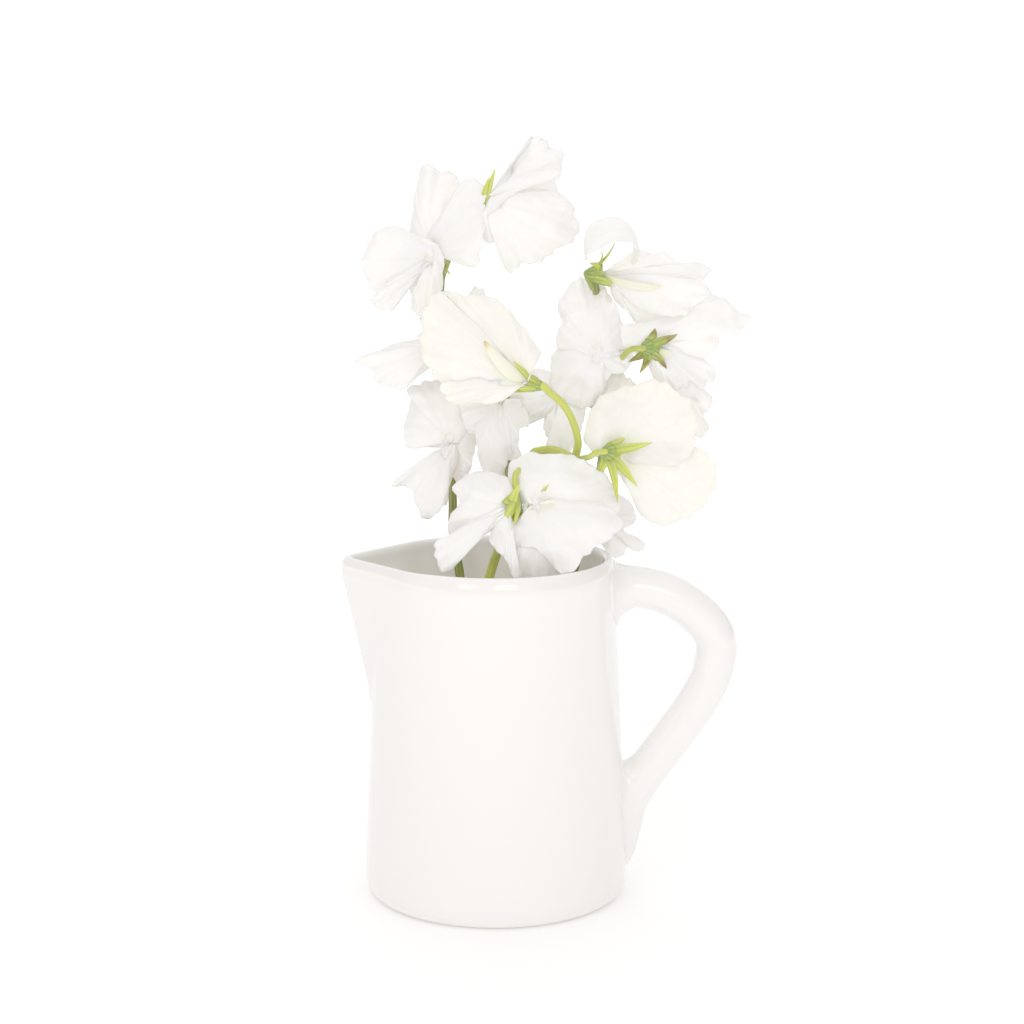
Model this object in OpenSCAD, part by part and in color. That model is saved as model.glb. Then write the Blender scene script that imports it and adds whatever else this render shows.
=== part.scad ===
// White sweet peas standing in a glazed ceramic pitcher.
// Millimetres, +Z up, origin at the middle of the pitcher's base on the table.
// The spout points to -X and the handle to +X.

/* [Pitcher] */
// Height of the pitcher to its rim
pitcher_h = 116; // [105:1:125]
// Radius of the body just above its rounded bottom edge
base_r = 44.4; // [42:0.2:46]
// Radius of the body at the rim
rim_r = 39.9; // [38.6:0.1:40.6]
// Thickness of the wall
wall = 4; // [3.6:0.1:4.4]
// Thickness of the floor
floor_t = 4.4; // [3.6:0.2:4.8]
// Radius of the rounded bottom edge
foot_round = 5; // [4:0.5:6]
// Reach of the spout's tip from the axis
spout_reach = 52; // [50:0.5:55]
// Length of the spout down the wall
spout_drop = 48; // [40:1:55]
// Half of the angle that the spout takes from the rim
spout_angle = 55; // [48:1:58]

/* [Handle] */
// Thickness of the handle's round section
handle_d = 14.8; // [12:0.2:16]
// Height of the handle's upper joint on the wall
handle_top = 104.5; // [102:0.5:106]

/* [Flowers] */
// Thickness of a petal
petal_t = 0.7; // [0.5:0.1:0.9]
// Thickness of a stem at its foot
stem_d = 3.2; // [2.8:0.1:3.6]
// Thickness of a flower stalk
stalk_d = 2; // [1.7:0.1:2.3]
// Radius of a calyx cup at its mouth
calyx_r = 3.1; // [2.8:0.1:3.4]
// Length of a calyx cup
calyx_l = 6; // [5:0.2:6.6]
// Length of a sepal beyond the cup
sepal_l = 8; // [6:0.5:9]

/* [Hidden] */
$fn = 96;
white = "#f6f4f0";
petal_white = "#fbfaf4";
petal_cream = "#f6f3df";
keel_cream = "#e9ecc4";
stem_green = "#6f8f3e";
calyx_green = "#93ad3d";

// The widest part of the body ends here, and the wall tapers from here to the rim.
taper_z = 13;
lip_r = wall / 2;
inner_foot_round = 9;
// The beak's tip is rounded by the first radius outside and the second inside.
beak_tip_r = 3;
beak_inner_r = 1.2;
beak_tip_h = 3.4;
// The beak grows out of the wall, so its roots start this far inside each face.
root_in = 1.5;
lip_drop = 0.5;
handle_sides = 14;
petal_cols = 12;
petal_rings = 4;
petal_gap = 3;
// Part of the outline, from -1 to 1 across the petal, that the edge columns stand at.
edge_t = 0.9;
stem_sides = 8;
stem_steps = 3;
calyx_sides = 10;
keel_sides = 6;
keel_end_r = 0.5;
keel_belly_r = 1.5;

// Rings of a calyx from its back: how far along as a part of its length, and how far out
// as a part of its radius, on a sepal's line and between two sepals.
cup_rings = [
    [0.3, 0.75, 0.75],
    [0.65, 0.97, 0.93],
    [1, 1, 0.9],
    [1 + 0.5 * sepal_l / calyx_l, 1.75, 0.95],
    [1 + sepal_l / calyx_l, 2.6, 0.9],
    [0.9, 0.7, 0.7],
];
// Where the green between two sepals ends, as a part of the cup's length.
notch_end = 1.05;

// The handle's middle line as [out from the axis, up, part of handle_d].
handle_line = [
    [37, handle_top, 1.12],
    [48, handle_top + 0.8, 1],
    [57.5, handle_top - 1.6, 1],
    [66, handle_top - 6.7, 1],
    [72.6, handle_top - 13.6, 1],
    [74.4, handle_top - 20.5, 1],
    [72.4, handle_top - 30.5, 0.98],
    [67.5, handle_top - 40, 0.98],
    [61, handle_top - 49.5, 0.98],
    [54.5, handle_top - 58.5, 0.96],
    [49.5, handle_top - 66.5, 0.9],
    [46, handle_top - 74.5, 0.8],
    [44.5, handle_top - 82.5, 0.72],
    [43.4, handle_top - 90.5, 0.62],
    [41, handle_top - 97.5, 0.45],
];

// The stems' middle lines, from the foot on the pitcher's floor upwards.
stems = [
    ["stem_left", [[2, 10, 6], [-6, 18, 55], [-12.5, 26, 103], [-15, 24, 119], [-15, 20, 135],
        [-17.5, 15, 170], [-18.6, 14, 200], [-17, 14, 215], [-13, 14.5, 222]]],
    ["stem_right", [[-8, -6, 6], [6, 3, 50], [22, 11, 95], [29, 15, 116], [35, 15.5, 140],
        [36.5, 14.5, 160], [36, 13.5, 178], [35, 12.5, 195], [33, 11, 206]]],
    ["stem_front", [[-31, 12, 6], [-17, 14, 55], [-2.5, 14, 105.5], [0.5, 12, 115], [6, 8, 132],
        [11.5, 4, 148.5], [14.5, 3, 151], [19, 1, 151.7], [23.5, -1, 150.3], [27.5, -3, 149.3]]],
    ["stem_low", [[14, -20, 6], [15, -14, 60], [14, -8, 105], [12, -6, 120], [6, -5, 138],
        [3.5, -3, 150], [2.5, -1, 160]]],
];

// A flower: [name, stem, mouth of the calyx, way the flower looks, stalk points,
//   standard, first wing, second wing, keel tip, colour, folded lobe of the standard].
// A petal: [tip from the mouth, way its face looks, left and right half widths, shoulder,
//   drop, bend, curl, start]. A shoulder under 1 puts the widest part nearer the tip, and
//   a petal without a start grows from the mouth.
flowers = [
    ["flower_01", 0, [-22, 18, 216], [3, -2, 3], [[-17, 15, 213]],
        [[2, 6, 30], [-5, -8, 1], 11, 14, 0.6, 0, 30, 25],
        [[17, -11, 12], [2, -8, 4], 13, 17, 0.9, 0, 40, 25],
        [[12, 13, 8], [5, 5, 5], 10, 11, 0.9, 0, 30, 15],
        [12, 1, 8], "white"],
    ["flower_02", 0, [-21, 11, 213], [-4, -2, -1], [[-18, 14, 208]],
        [[-23, -6, 1], [-3, -8, 3], 17, 15, 0.9, 0.1, 35, 35],
        [[-5, -6, -19], [5, -8, 0], 7, 7, 0.8, 0, 30, 20],
        [[-14, 11, -8], [0, 8, 5], 9, 9, 0.85, 0, 30, 20],
        [-13, -9, -5], "white"],
    ["flower_03", 0, [-3.5, 18, 233], [1, 1, 3], [[-12, 15, 223], [-7, 16, 225]],
        [[19, 8, 21], [-6, -8, 4], 8, 12, 0.6, 0.1, -35, 20],
        [[24, -10, -14], [3, -8, 4], 16, 17, 1, 0, 45, 30],
        [[3, -7, -16], [-6, -8, 0], 6, 6, 0.8, 0, 20, 15],
        [14, 4, -2], "white"],
    ["flower_04", 0, [-20, 4, 186], [-2, -2, 1], [[-18, 14, 182]],
        [[14, 12, 24], [4, -8, -2], 9, 11, 0.9, 0, 25, 20],
        [[-26, -6, -7], [1, -8, 5], 9, 10, 1.05, 0, 25, 20],
        [[-14, 12, -8], [0, 8, 6], 8, 8, 0.85, 0, 30, 20],
        [-12, 3, 2], "white"],
    ["flower_05", 2, [10, -22, 177], [-4, 0, 1],
        [[26.8, -3.5, 151.5], [27.2, -7, 156], [25.3, -11, 163], [22, -15, 169], [17.5, -19, 173.5]],
        [[-24, 2, 27], [3, -8, 3], 17, 18, 1, 0.1, 25, 35],
        [[-32, -13, 15], [-4, -8, 2], 11, 11, 0.85, 0, 50, 30],
        [[-22, -8, -5], [0, -8, -5], 9, 9, 0.9, 0, 35, 20],
        [-15, -9, 9], "cream"],
    ["flower_06", 0, [-15, 4, 153], [-2, -4, -2], [[-16, 17, 150]],
        [[-7, 4, 21], [-3, -8, 2], 14, 14, 0.8, 0.15, 35, 30],
        [[-7, -9, -21], [-4, -8, 3], 8, 8, 0.8, 0, 35, 25],
        [[-19, -2, -9], [0, -8, 5], 4, 6, 0.9, 0, 30, 15],
        [-9, -13, -5], "white"],
    ["flower_07", 3, [2, 1, 168], [0, -4, -3], [[2.5, -1, 160]],
        [[-2, -10, -22], [3, -8, -3], 9, 9, 0.8, 0, 35, 25],
        [[9, -4, -14], [8, -6, 3], 7, 7, 0.8, 0, 30, 20],
        [[-5, 9, -14], [-6, 8, 2], 7, 7, 0.8, 0, 30, 20],
        [1, 1, -13], "white"],
    ["flower_08", 1, [21, 12, 168], [-4, -2, 0], [[36, 14.5, 163]],
        [[-19, -7, -1], [3, -8, 4], 10, 17, 1, 0.1, 35, 30],
        [[3, -9, -17], [5, -8, 1], 8, 8, 0.8, 0, 30, 20],
        [[-9, 12, -12], [-6, 8, 3], 8, 8, 0.8, 0, 30, 20],
        [-8, 1, -11], "white"],
    ["flower_09", 1, [34, 6, 182], [-3, -2, 2], [[36.5, 13, 172]],
        [[-5, 12, 27], [-3, -8, 3], 19, 12, 1, 0.35, 20, 30],
        [[-15, -2, -11], [-6, -8, 3], 11, 10, 0.85, 0, 30, 20],
        [[-13, 12, 8], [-3, 8, 2], 9, 9, 0.85, 0, 30, 20],
        [-14, 3, 4], "white"],
    ["flower_10", 1, [36, 9.5, 209.5], [4, 0, 0], [[32.5, 11, 204.5]],
        [[16, 7, -17], [2, -8, 4], 11, 12, 1, 0.1, 30, 30],
        [[34, -3, 1], [1, -8, 6], 8, 9, 0.75, 0, 30, 25],
        [[30, -10, -8], [3, -8, -1], 8, 11, 0.85, 0, 30, 20],
        [17, -2, -5], "white",
        [[-6, -5, 5], [0, -5, 8], 7, 7, 1, 0, 240, 15, [9, -2, 4]]],
    ["flower_11", 1, [52, 1, 186], [3, 4, 0], [[36.5, 12, 174], [41, 4, 181], [44, -3, 185.5]],
        [[32, 7, 10], [2, -8, 4], 8, 14, 0.75, 0.3, 30, 25],
        [[14, -8, -14], [4, -8, 3], 11, 11, 0.85, 0, 35, 25],
        [[19, 6, -29], [4, -8, 0], 8, 8, 0.7, 0, 30, 25],
        [14, -1, -5], "white"],
    ["flower_12", 2, [38.5, -13, 153], [3, 5, -1],
        [[28.5, -4.5, 149.5], [31, -12, 151.5], [33, -16, 153.5]],
        [[22, 14, 20], [-2, -8, 3], 20, 17, 0.9, 0.1, 40, 30],
        [[30, 9, -12], [-2, -8, -3], 15, 17, 0.9, 0, 40, 25],
        [[-3, 21, 27], [-3, -8, 2], 3, 13, 0.9, 0, 30, 20],
        [9, 15, 2], "cream"],
    ["flower_13", 3, [4, -23, 136], [-2, -2, -4], [[6, -6, 140], [8, -14, 147], [6.5, -20, 146.5]],
        [[-17, 0, 4], [-3, -8, 3], 12, 12, 0.9, 0.1, 35, 30],
        [[-20, -7, -18], [-5, -8, 2], 8, 7, 0.75, 0, 35, 20],
        [[0, -2, -22], [5, -8, 1], 4, 4, 0.9, 0, 20, 10],
        [-10, -8, -8], "white"],
    ["flower_14", 3, [13, -19, 136], [2, -4, -1], [[7, -6.5, 135]],
        [[12, 5, 16], [3, -8, 4], 17, 19, 1, 0.1, 35, 30],
        [[12, -9, -21], [3, -8, 4], 14, 18, 0.8, 0, 35, 25],
        [[-1, 5, -24], [-3, -8, 1], 8, 9, 0.8, 0, 25, 20],
        [9, -9, -3], "cream"],
    ["flower_15", 1, [36, 23, 123], [4, 0, -1], [[28.5, 20, 121]],
        [[8, 4, 10], [-3, -8, 3], 9, 9, 0.9, 0.1, 25, 25],
        [[15, -3, -5], [3, -8, 5], 5, 5, 0.8, 0, 25, 15],
        [[6, 11, -5], [3, 8, 4], 7, 7, 0.85, 0, 25, 15],
        [10, 4, 1], "white"],
];

function unit(v) = v / norm(v);
function total(v, i = 0) = i < len(v) ? v[i] + total(v, i + 1) : 0 * v[0];
function flat(lists) = [for (l = lists, item = l) item];

// A smooth line through the points, with some steps between each two.
function smooth_line(p, steps) = [
    for (i = [0:len(p) - 2], k = [0:steps - 1])
        let (t = k / steps, a = p[max(i - 1, 0)], b = p[i], c = p[i + 1], d = p[min(i + 2, len(p) - 1)])
            b + 0.5 * t * (c - a + t * (2 * a - 5 * b + 4 * c - d + t * (3 * (b - c) + d - a))),
    p[len(p) - 1],
];

// Ways of a line at each point, and the side vectors of rings that don't twist along it.
function ways(p) = [for (i = [0:len(p) - 1]) unit(p[min(i + 1, len(p) - 1)] - p[max(i - 1, 0)])];
function side_vectors(w, i = 0, last = [0, -1, 0]) =
    let (s = unit(last - (last * w[i]) * w[i]))
        i < len(w) - 1 ? concat([s], side_vectors(w, i + 1, s)) : [s];

// Rings of points round a line, with a radius for each.
function rings_on(p, radii, sides) =
    let (w = ways(p), s = side_vectors(w))
        [for (i = [0:len(p) - 1])
            [for (k = [0:sides - 1])
                let (a = 360 * k / sides)
                    p[i] + radii[i] * (cos(a) * s[i] + sin(a) * cross(w[i], s[i]))]];

// A closed shell over rings of the same number of points, as [points, faces].
function shell(rings) =
    let (
        n = len(rings[0]),
        m = len(rings),
        bottom = total(rings[0]) / n,
        top = total(rings[m - 1]) / n
    )
        [
            concat(flat(rings), [bottom, top]),
            concat(
                [for (i = [0:m - 2], k = [0:n - 1]) [i * n + k, (i + 1) * n + k, i * n + (k + 1) % n]],
                [for (i = [0:m - 2], k = [0:n - 1])
                    [i * n + (k + 1) % n, (i + 1) * n + k, (i + 1) * n + (k + 1) % n]],
                [for (k = [0:n - 1]) [k, (k + 1) % n, m * n]],
                [for (k = [0:n - 1]) [(m - 1) * n + (k + 1) % n, (m - 1) * n + k, m * n + 1]]
            ),
        ];

// Several closed shells as one polyhedron.
module shells(list) {
    starts = [for (i = 0, s = 0; i < len(list); s = s + len(list[i][0]), i = i + 1) s];
    polyhedron(
        points = flat([for (l = list) l[0]]),
        faces = [for (i = [0:len(list) - 1], face = list[i][1]) [for (k = face) k + starts[i]]],
        convexity = 10
    );
}

// A petal's outline in its own plane, at t from -1 to 1 across it.
function petal_edge(t, long, left, right, shoulder, drop) =
    let (a = abs(t))
        [
            (t < 0 ? -left : right) * sin(180 * pow(a, shoulder)),
            long * (1 + cos(180 * t)) / 2 - drop * long * pow(sin(180 * a * a), 2),
        ];

// A point of the petal's sheet: rho runs from its base to its edge, up is along the
// thickness. The middle line bends evenly and each side curls back.
function petal_point(base, long, turn, curl, u, n, r, flat_xy, half, up) =
    let (
        tilt = turn / 2 - turn * flat_xy[1] / long,
        radius = long / (turn * PI / 180),
        face = n * cos(tilt) - u * sin(tilt),
        bow = curl * flat_xy[0] / half,
        side = half / (curl * PI / 180)
    )
        base + radius * ((sin(turn / 2) - sin(tilt)) * u + (cos(tilt) - cos(turn / 2)) * n)
            + side * sin(bow) * r
            + (up * cos(bow) - side * (1 - cos(bow))) * face + up * sin(bow) * r;

function petal_shell(mouth, row) =
    let (
        start = len(row) > 8 ? row[8] : petal_gap * unit(row[0]),
        tip = mouth + row[0],
        base = mouth + start,
        u = unit(tip - base),
        n = unit(row[1] - (row[1] * u) * u),
        r = cross(u, n),
        turn = row[6],
        long = norm(tip - base) * (turn / 2 * PI / 180) / sin(turn / 2),
        sides = [for (up = [petal_t / 2, -petal_t / 2])
            flat([
                [petal_point(base, long, turn, row[7], u, n, r, [0, 0], row[2], up)],
                [for (i = [1:petal_rings], k = [0:petal_cols - 1])
                    let (
                        t = edge_t * (2 * k / (petal_cols - 1) - 1),
                        edge = petal_edge(t, long, row[2], row[3], row[4], row[5])
                    )
                        petal_point(base, long, turn, row[7], u, n, r, edge * i / petal_rings,
                            t < 0 ? row[2] : row[3], up)],
            ])],
        c = petal_cols,
        m = 1 + petal_rings * c
    )
        [
            concat(sides[0], sides[1]),
            concat(
                [for (k = [0:c - 2]) [0, 1 + k, 2 + k]],
                [for (i = [0:petal_rings - 2], k = [0:c - 2])
                    [1 + i * c + k, 1 + (i + 1) * c + k, 2 + i * c + k]],
                [for (i = [0:petal_rings - 2], k = [0:c - 2])
                    [2 + i * c + k, 1 + (i + 1) * c + k, 2 + (i + 1) * c + k]],
                [for (k = [0:c - 2]) [m, m + 2 + k, m + 1 + k]],
                [for (i = [0:petal_rings - 2], k = [0:c - 2])
                    [m + 1 + i * c + k, m + 2 + i * c + k, m + 1 + (i + 1) * c + k]],
                [for (i = [0:petal_rings - 2], k = [0:c - 2])
                    [m + 2 + i * c + k, m + 2 + (i + 1) * c + k, m + 1 + (i + 1) * c + k]],
                flat([for (pair = petal_rim(c))
                    [[pair[0], m + pair[0], pair[1]], [pair[1], m + pair[0], m + pair[1]]]])
            ),
        ];

// Neighbours round a petal's edge: up the first column, along the outer ring, down the last.
function petal_rim(c) =
    let (
        path = concat(
            [0],
            [for (i = [0:petal_rings - 1]) 1 + i * c],
            [for (k = [1:c - 1]) 1 + (petal_rings - 1) * c + k],
            [for (i = [petal_rings - 2:-1:0]) i * c + c]
        ),
        count = len(path)
    )
        [for (i = [0:count - 1]) [path[i], path[(i + 1) % count]]];

// A boat-shaped keel from near the mouth to its tip.
function keel_shell(mouth, tip) =
    let (
        start = mouth + petal_gap * unit(tip),
        end = mouth + tip,
        stations = [0, 0.2, 0.45, 0.7, 0.9, 1],
        line = [for (s = stations) start + s * (end - start)]
    )
        shell(rings_on(line, [for (s = stations) keel_end_r + keel_belly_r * sin(180 * pow(s, 0.8))],
            keel_sides));

// A flower stalk that widens into its calyx cup, with five sepals round the mouth.
function calyx_shell(f) =
    let (
        mouth = f[2],
        way = unit(f[3]),
        back = mouth - calyx_l * way,
        stalk = smooth_line(concat(f[4], [back]), 2),
        stalk_rings = rings_on(stalk, [for (p = stalk) stalk_d / 2], calyx_sides),
        w = ways(stalk),
        first = side_vectors(w)[len(w) - 1],
        side = unit(first - (first * way) * way),
        cup = [
            for (row = cup_rings)
                [for (k = [0:calyx_sides - 1])
                    let (
                        a = 360 * k / calyx_sides,
                        sepal = k % 2 == 0,
                        along = sepal ? row[0] : min(row[0], notch_end),
                        out = calyx_r * (sepal ? row[1] : row[2])
                    )
                        back + along * calyx_l * way + out * (cos(a) * side + sin(a) * cross(way, side))]
        ]
    )
        shell(concat(stalk_rings, cup));

// The outer shape of the pitcher without its spout and handle.
module body_solid() {
    rotate_extrude()
        polygon(concat(
            [[0, 0]],
            [for (a = [-90:15:0])
                [base_r - foot_round + foot_round * cos(a), foot_round + foot_round * sin(a)]],
            [[base_r, taper_z]],
            [for (a = [0:30:180])
                [rim_r - lip_r + lip_r * cos(a), pitcher_h - lip_r + lip_r * sin(a)]],
            [[0, pitcher_h - lip_r]]
        ));
}

// The space inside it.
module body_space() {
    rotate_extrude()
        polygon(concat(
            [[0, floor_t]],
            [for (a = [-90:15:0])
                [base_r - wall - inner_foot_round + inner_foot_round * cos(a),
                    floor_t + inner_foot_round + inner_foot_round * sin(a)]],
            [[rim_r - wall, pitcher_h - lip_r]],
            [for (a = [180:-30:90])
                [rim_r - lip_r + lip_r * cos(a), pitcher_h - lip_r + lip_r * sin(a)]],
            [[0, pitcher_h + 1]]
        ));
}

// A pointed beak: the outline at its top runs down to one point by the wall.
module beak(reach, tip_r, root_r, foot_r, top, drop) {
    outline = concat(
        [[-root_r * cos(spout_angle), root_r * sin(spout_angle)]],
        [for (a = [60:-30:-60]) [-(reach - tip_r) - tip_r * cos(a), tip_r * sin(a)]],
        [[-root_r * cos(spout_angle), -root_r * sin(spout_angle)], [0, 0]]
    );
    n = len(outline);
    polyhedron(
        points = concat(
            [for (p = outline) [p[0], p[1], top]],
            [for (p = outline) [p[0], p[1], top - beak_tip_h]],
            [[-foot_r, 0, top - drop]]
        ),
        faces = concat(
            [[for (k = [n - 1:-1:0]) k]],
            [for (k = [0:n - 1]) [k, (k + 1) % n, n + (k + 1) % n, n + k]],
            [for (k = [0:n - 1]) [n + k, n + (k + 1) % n, 2 * n]]
        )
    );
}

module pitcher_body() {
    color(white)
        difference() {
            union() {
                body_solid();
                beak(spout_reach, beak_tip_r, rim_r - root_in, rim_r, pitcher_h - lip_drop, spout_drop);
            }
            body_space();
            beak(spout_reach - wall, beak_inner_r, rim_r - wall - root_in, rim_r - wall,
                pitcher_h + 1, spout_drop - wall);
        }
}

module pitcher_handle() {
    color(white)
        difference() {
            line = smooth_line([for (p = handle_line) [p[0], 0, p[1]]], 2);
            thick = smooth_line([for (p = handle_line) [p[2], 0, 0]], 2);
            shells([shell(rings_on(line, [for (t = thick) t[0] * handle_d / 2], handle_sides))]);
            body_solid();
        }
}

module stem(s) {
    line = smooth_line(s[1], stem_steps);
    n = len(line) - 1;
    color(stem_green)
        shells([shell(rings_on(line, [for (i = [0:n]) stem_d / 2 * (1 - 0.2 * i / n)], stem_sides))]);
}

module calyces(number) {
    color(calyx_green)
        shells([for (f = flowers) if (f[1] == number) calyx_shell(f)]);
}

module petals(f, rows) {
    color(f[9] == "cream" ? petal_cream : petal_white)
        shells([for (row = rows) petal_shell(f[2], row)]);
}

// The standard's rows: the petal itself, and its folded lobe where it has one.
function standard_of(f) = [for (k = [5, 10]) if (k < len(f)) f[k]];

module keel(f) {
    color(keel_cream)
        shells([keel_shell(f[2], f[8])]);
}

pitcher_body();
pitcher_handle();
for (i = [0:len(stems) - 1]) {
    stem(stems[i]);
    calyces(i);
}
for (f = flowers) {
    petals(f, standard_of(f));
    petals(f, [f[6], f[7]]);
    keel(f);
}
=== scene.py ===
# White sweet peas in a glazed pitcher: petals, calyces and stems are grown around the packed
# model, and the pitcher gets its thrown shape and its glaze. Sizes in the dictionaries are in mm.
import math
import random

import bmesh
import bpy
import numpy as np
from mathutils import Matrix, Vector, noise


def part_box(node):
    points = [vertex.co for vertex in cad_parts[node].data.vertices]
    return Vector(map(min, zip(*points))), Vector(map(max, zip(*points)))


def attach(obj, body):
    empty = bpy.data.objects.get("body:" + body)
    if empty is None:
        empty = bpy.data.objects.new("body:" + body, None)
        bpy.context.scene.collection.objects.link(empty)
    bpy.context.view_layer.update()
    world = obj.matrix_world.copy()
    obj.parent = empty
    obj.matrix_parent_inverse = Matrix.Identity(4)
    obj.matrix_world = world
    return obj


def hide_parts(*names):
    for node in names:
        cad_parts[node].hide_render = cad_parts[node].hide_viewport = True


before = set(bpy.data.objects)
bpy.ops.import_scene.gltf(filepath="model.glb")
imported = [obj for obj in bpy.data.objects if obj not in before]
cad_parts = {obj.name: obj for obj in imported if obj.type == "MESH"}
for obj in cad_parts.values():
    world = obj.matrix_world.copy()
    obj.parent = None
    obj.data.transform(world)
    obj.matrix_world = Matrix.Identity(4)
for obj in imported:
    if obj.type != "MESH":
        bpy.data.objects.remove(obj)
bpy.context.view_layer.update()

mm = 0.001


# --- small helpers ---

def unit(v):
    v = np.asarray(v, float)
    return v / np.linalg.norm(v)


def smoothstep(low, high, x):
    t = np.clip((x - low) / (high - low), 0, 1)
    return t * t * (3 - 2 * t)


def sineOf(t, turns, phase):
    return np.sin(math.pi * turns * t + phase)


def sideways(way):
    # a direction across another
    return unit(np.cross(way, (0, 0, 1) if abs(way[2]) < 0.9 else (0, 1, 0)))


def smoothLine(points, steps):
    # even line through every point, with some steps between each two
    p = [np.asarray(q, float) for q in points]
    line = []
    for i in range(len(p) - 1):
        a, b, c, d = p[max(i - 1, 0)], p[i], p[i + 1], p[min(i + 2, len(p) - 1)]
        for k in range(steps):
            t = k / steps
            line.append(b + 0.5 * t * (c - a + t * (2 * a - 5 * b + 4 * c - d + t * (3 * (b - c) + d - a))))
    line.append(p[-1])
    return np.array(line)


def gridFaces(rows, cols, start=0, wrap=False):
    # quads over rows of points, each row as long as cols
    faces = []
    for i in range(rows - 1):
        for k in range(cols if wrap else cols - 1):
            a, b = start + i * cols + k, start + i * cols + (k + 1) % cols
            faces.append((a, b, b + cols, a + cols))
    return faces


def tubeFaces(points, n, ends):
    # the faces of a tube made of rows of n points, which the two end points close
    rows, start = len(points) // n, len(points)
    last = start - n
    points += ends
    faces = gridFaces(rows, n, wrap=True)
    faces += [(start, (k + 1) % n, k) for k in range(n)]
    return faces + [(start + 1, last + k, last + (k + 1) % n) for k in range(n)]


def linkPiece(name, mesh):
    piece = bpy.data.objects.new(name, mesh)
    bpy.context.scene.collection.objects.link(piece)
    return piece


def meshPiece(name, points, faces, material, thick=0, **layers):
    # a smooth mesh with its point attributes; thick makes a sheet a solid
    mesh = bpy.data.meshes.new(name)
    mesh.from_pydata([tuple(p) for p in np.asarray(points) * mm], [], faces)
    mesh.materials.append(material)
    mesh.shade_smooth()
    mesh.validate()
    for layer, values in layers.items():
        mesh.attributes.new(layer, "FLOAT", "POINT").data.foreach_set("value", np.asarray(values, np.float32))
    piece = linkPiece(name, mesh)
    if thick:
        body = piece.modifiers.new("thickness", "SOLIDIFY")
        body.thickness = thick * mm
        body.offset = 0
    return piece


def plainMesh(piece):
    # the mesh with its modifiers worked in
    return bpy.data.meshes.new_from_object(piece.evaluated_get(bpy.context.evaluated_depsgraph_get()))


def place(piece, slotName, *nodes):
    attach(piece, "root")
    if nodes:
        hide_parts(*nodes)


def pieceName(node):
    first, *rest = node.split("_")
    return first + "".join(part.capitalize() for part in rest)


# --- material helpers ---

def link(tree, start, end):
    tree.links.new(start, end)


def addNode(tree, kind, values=None, **settings):
    # values: a number or another node's output for each input
    made = tree.nodes.new(kind)
    for name, value in settings.items():
        setattr(made, name, value)
    for socket, value in (values or {}).items():
        if isinstance(value, bpy.types.NodeSocket):
            link(tree, value, made.inputs[socket])
        else:
            made.inputs[socket].default_value = value
    return made


def newMaterial(name, look):
    # a Principled material, with the constants set on the shader's own sockets
    material = bpy.data.materials.new(name)
    material.use_nodes = True
    shader = material.node_tree.nodes["Principled BSDF"]
    for socket, value in look.items():
        shader.inputs[socket].default_value = value
    return material, material.node_tree, shader


def calc(tree, operation, a, b=None, clamp=False):
    values = {0: a} if b is None else {0: a, 1: b}
    return addNode(tree, "ShaderNodeMath", values, operation=operation, use_clamp=clamp).outputs[0]


def sums(tree):
    # add, subtract and multiply in one tree
    return [lambda a, b, clamp=False, name=name: calc(tree, name, a, b, clamp)
            for name in ("ADD", "SUBTRACT", "MULTIPLY")]


def mixColor(tree, factor, a, b):
    return addNode(tree, "ShaderNodeMix", {0: factor, 6: a, 7: b}, data_type="RGBA").outputs[2]


def smoothRange(tree, value, low, high, start=0.0, end=1.0):
    values = {"Value": value, "From Min": low, "From Max": high, "To Min": start, "To Max": end}
    return addNode(tree, "ShaderNodeMapRange", values, interpolation_type="SMOOTHSTEP").outputs[0]


def attribute(tree, name):
    return addNode(tree, "ShaderNodeAttribute", attribute_name=name).outputs["Fac"]


def grain(tree, scale, detail, **more):
    place = addNode(tree, "ShaderNodeTexCoord").outputs["Object"]
    values = {"Vector": place, "Scale": scale, "Detail": detail, **more}
    return addNode(tree, "ShaderNodeTexNoise", values).outputs[0]


def newGroup(name, inputs, outputs):
    tree = bpy.data.node_groups.new(name, "ShaderNodeTree")
    for socket, value in inputs.items():
        kind = "NodeSocketColor" if isinstance(value, tuple) else "NodeSocketFloat"
        tree.interface.new_socket(socket, in_out="INPUT", socket_type=kind).default_value = value
    for socket, kind in outputs.items():
        tree.interface.new_socket(socket, in_out="OUTPUT", socket_type="NodeSocket" + kind)
    return tree, addNode(tree, "NodeGroupInput").outputs, addNode(tree, "NodeGroupOutput").inputs


def addBump(tree, shader, height, strength, distance):
    bump = addNode(tree, "ShaderNodeBump", {"Height": height, "Strength": strength, "Distance": distance})
    link(tree, bump.outputs["Normal"], shader.inputs["Normal"])


def groupMaterial(name, look, group, values, bump):
    # a material whose colour, roughness and height come from a shader group
    material, tree, shader = newMaterial(name, look)
    surface = addNode(tree, "ShaderNodeGroup", node_tree=group)
    for socket, value in values.items():
        surface.inputs[socket].default_value = value
    link(tree, surface.outputs["Color"], shader.inputs["Base Color"])
    link(tree, surface.outputs["Roughness"], shader.inputs["Roughness"])
    addBump(tree, shader, surface.outputs["Height"], *bump)
    return material


# --- camera, floor and light ---

view = {"x": 5.4, "distance": 738, "height": 261, "tilt": 80, "lens": 78.86, "gamma": 1.6}
light = {"sky": 0.83, "backdrop": 1.04, "zenith": 0.45, "side": 0.25, "sideTint": (1.0, 0.93, 0.89, 1),
         "floor": (0.95, 0.94, 0.93), "dust": 0.995, "glow": 0.16, "farGlow": 0.5, "reach": 4.0,
         "target": (0.01, 0, 0.12), "leftPlace": (-0.57, -1.1, 0.55), "left": 1.05, "leftBox": (0.34, 0.42),
         "rightPlace": (0.22, -1.25, 0.55), "right": 1.4, "rightBox": (0.46, 0.42)}

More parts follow.
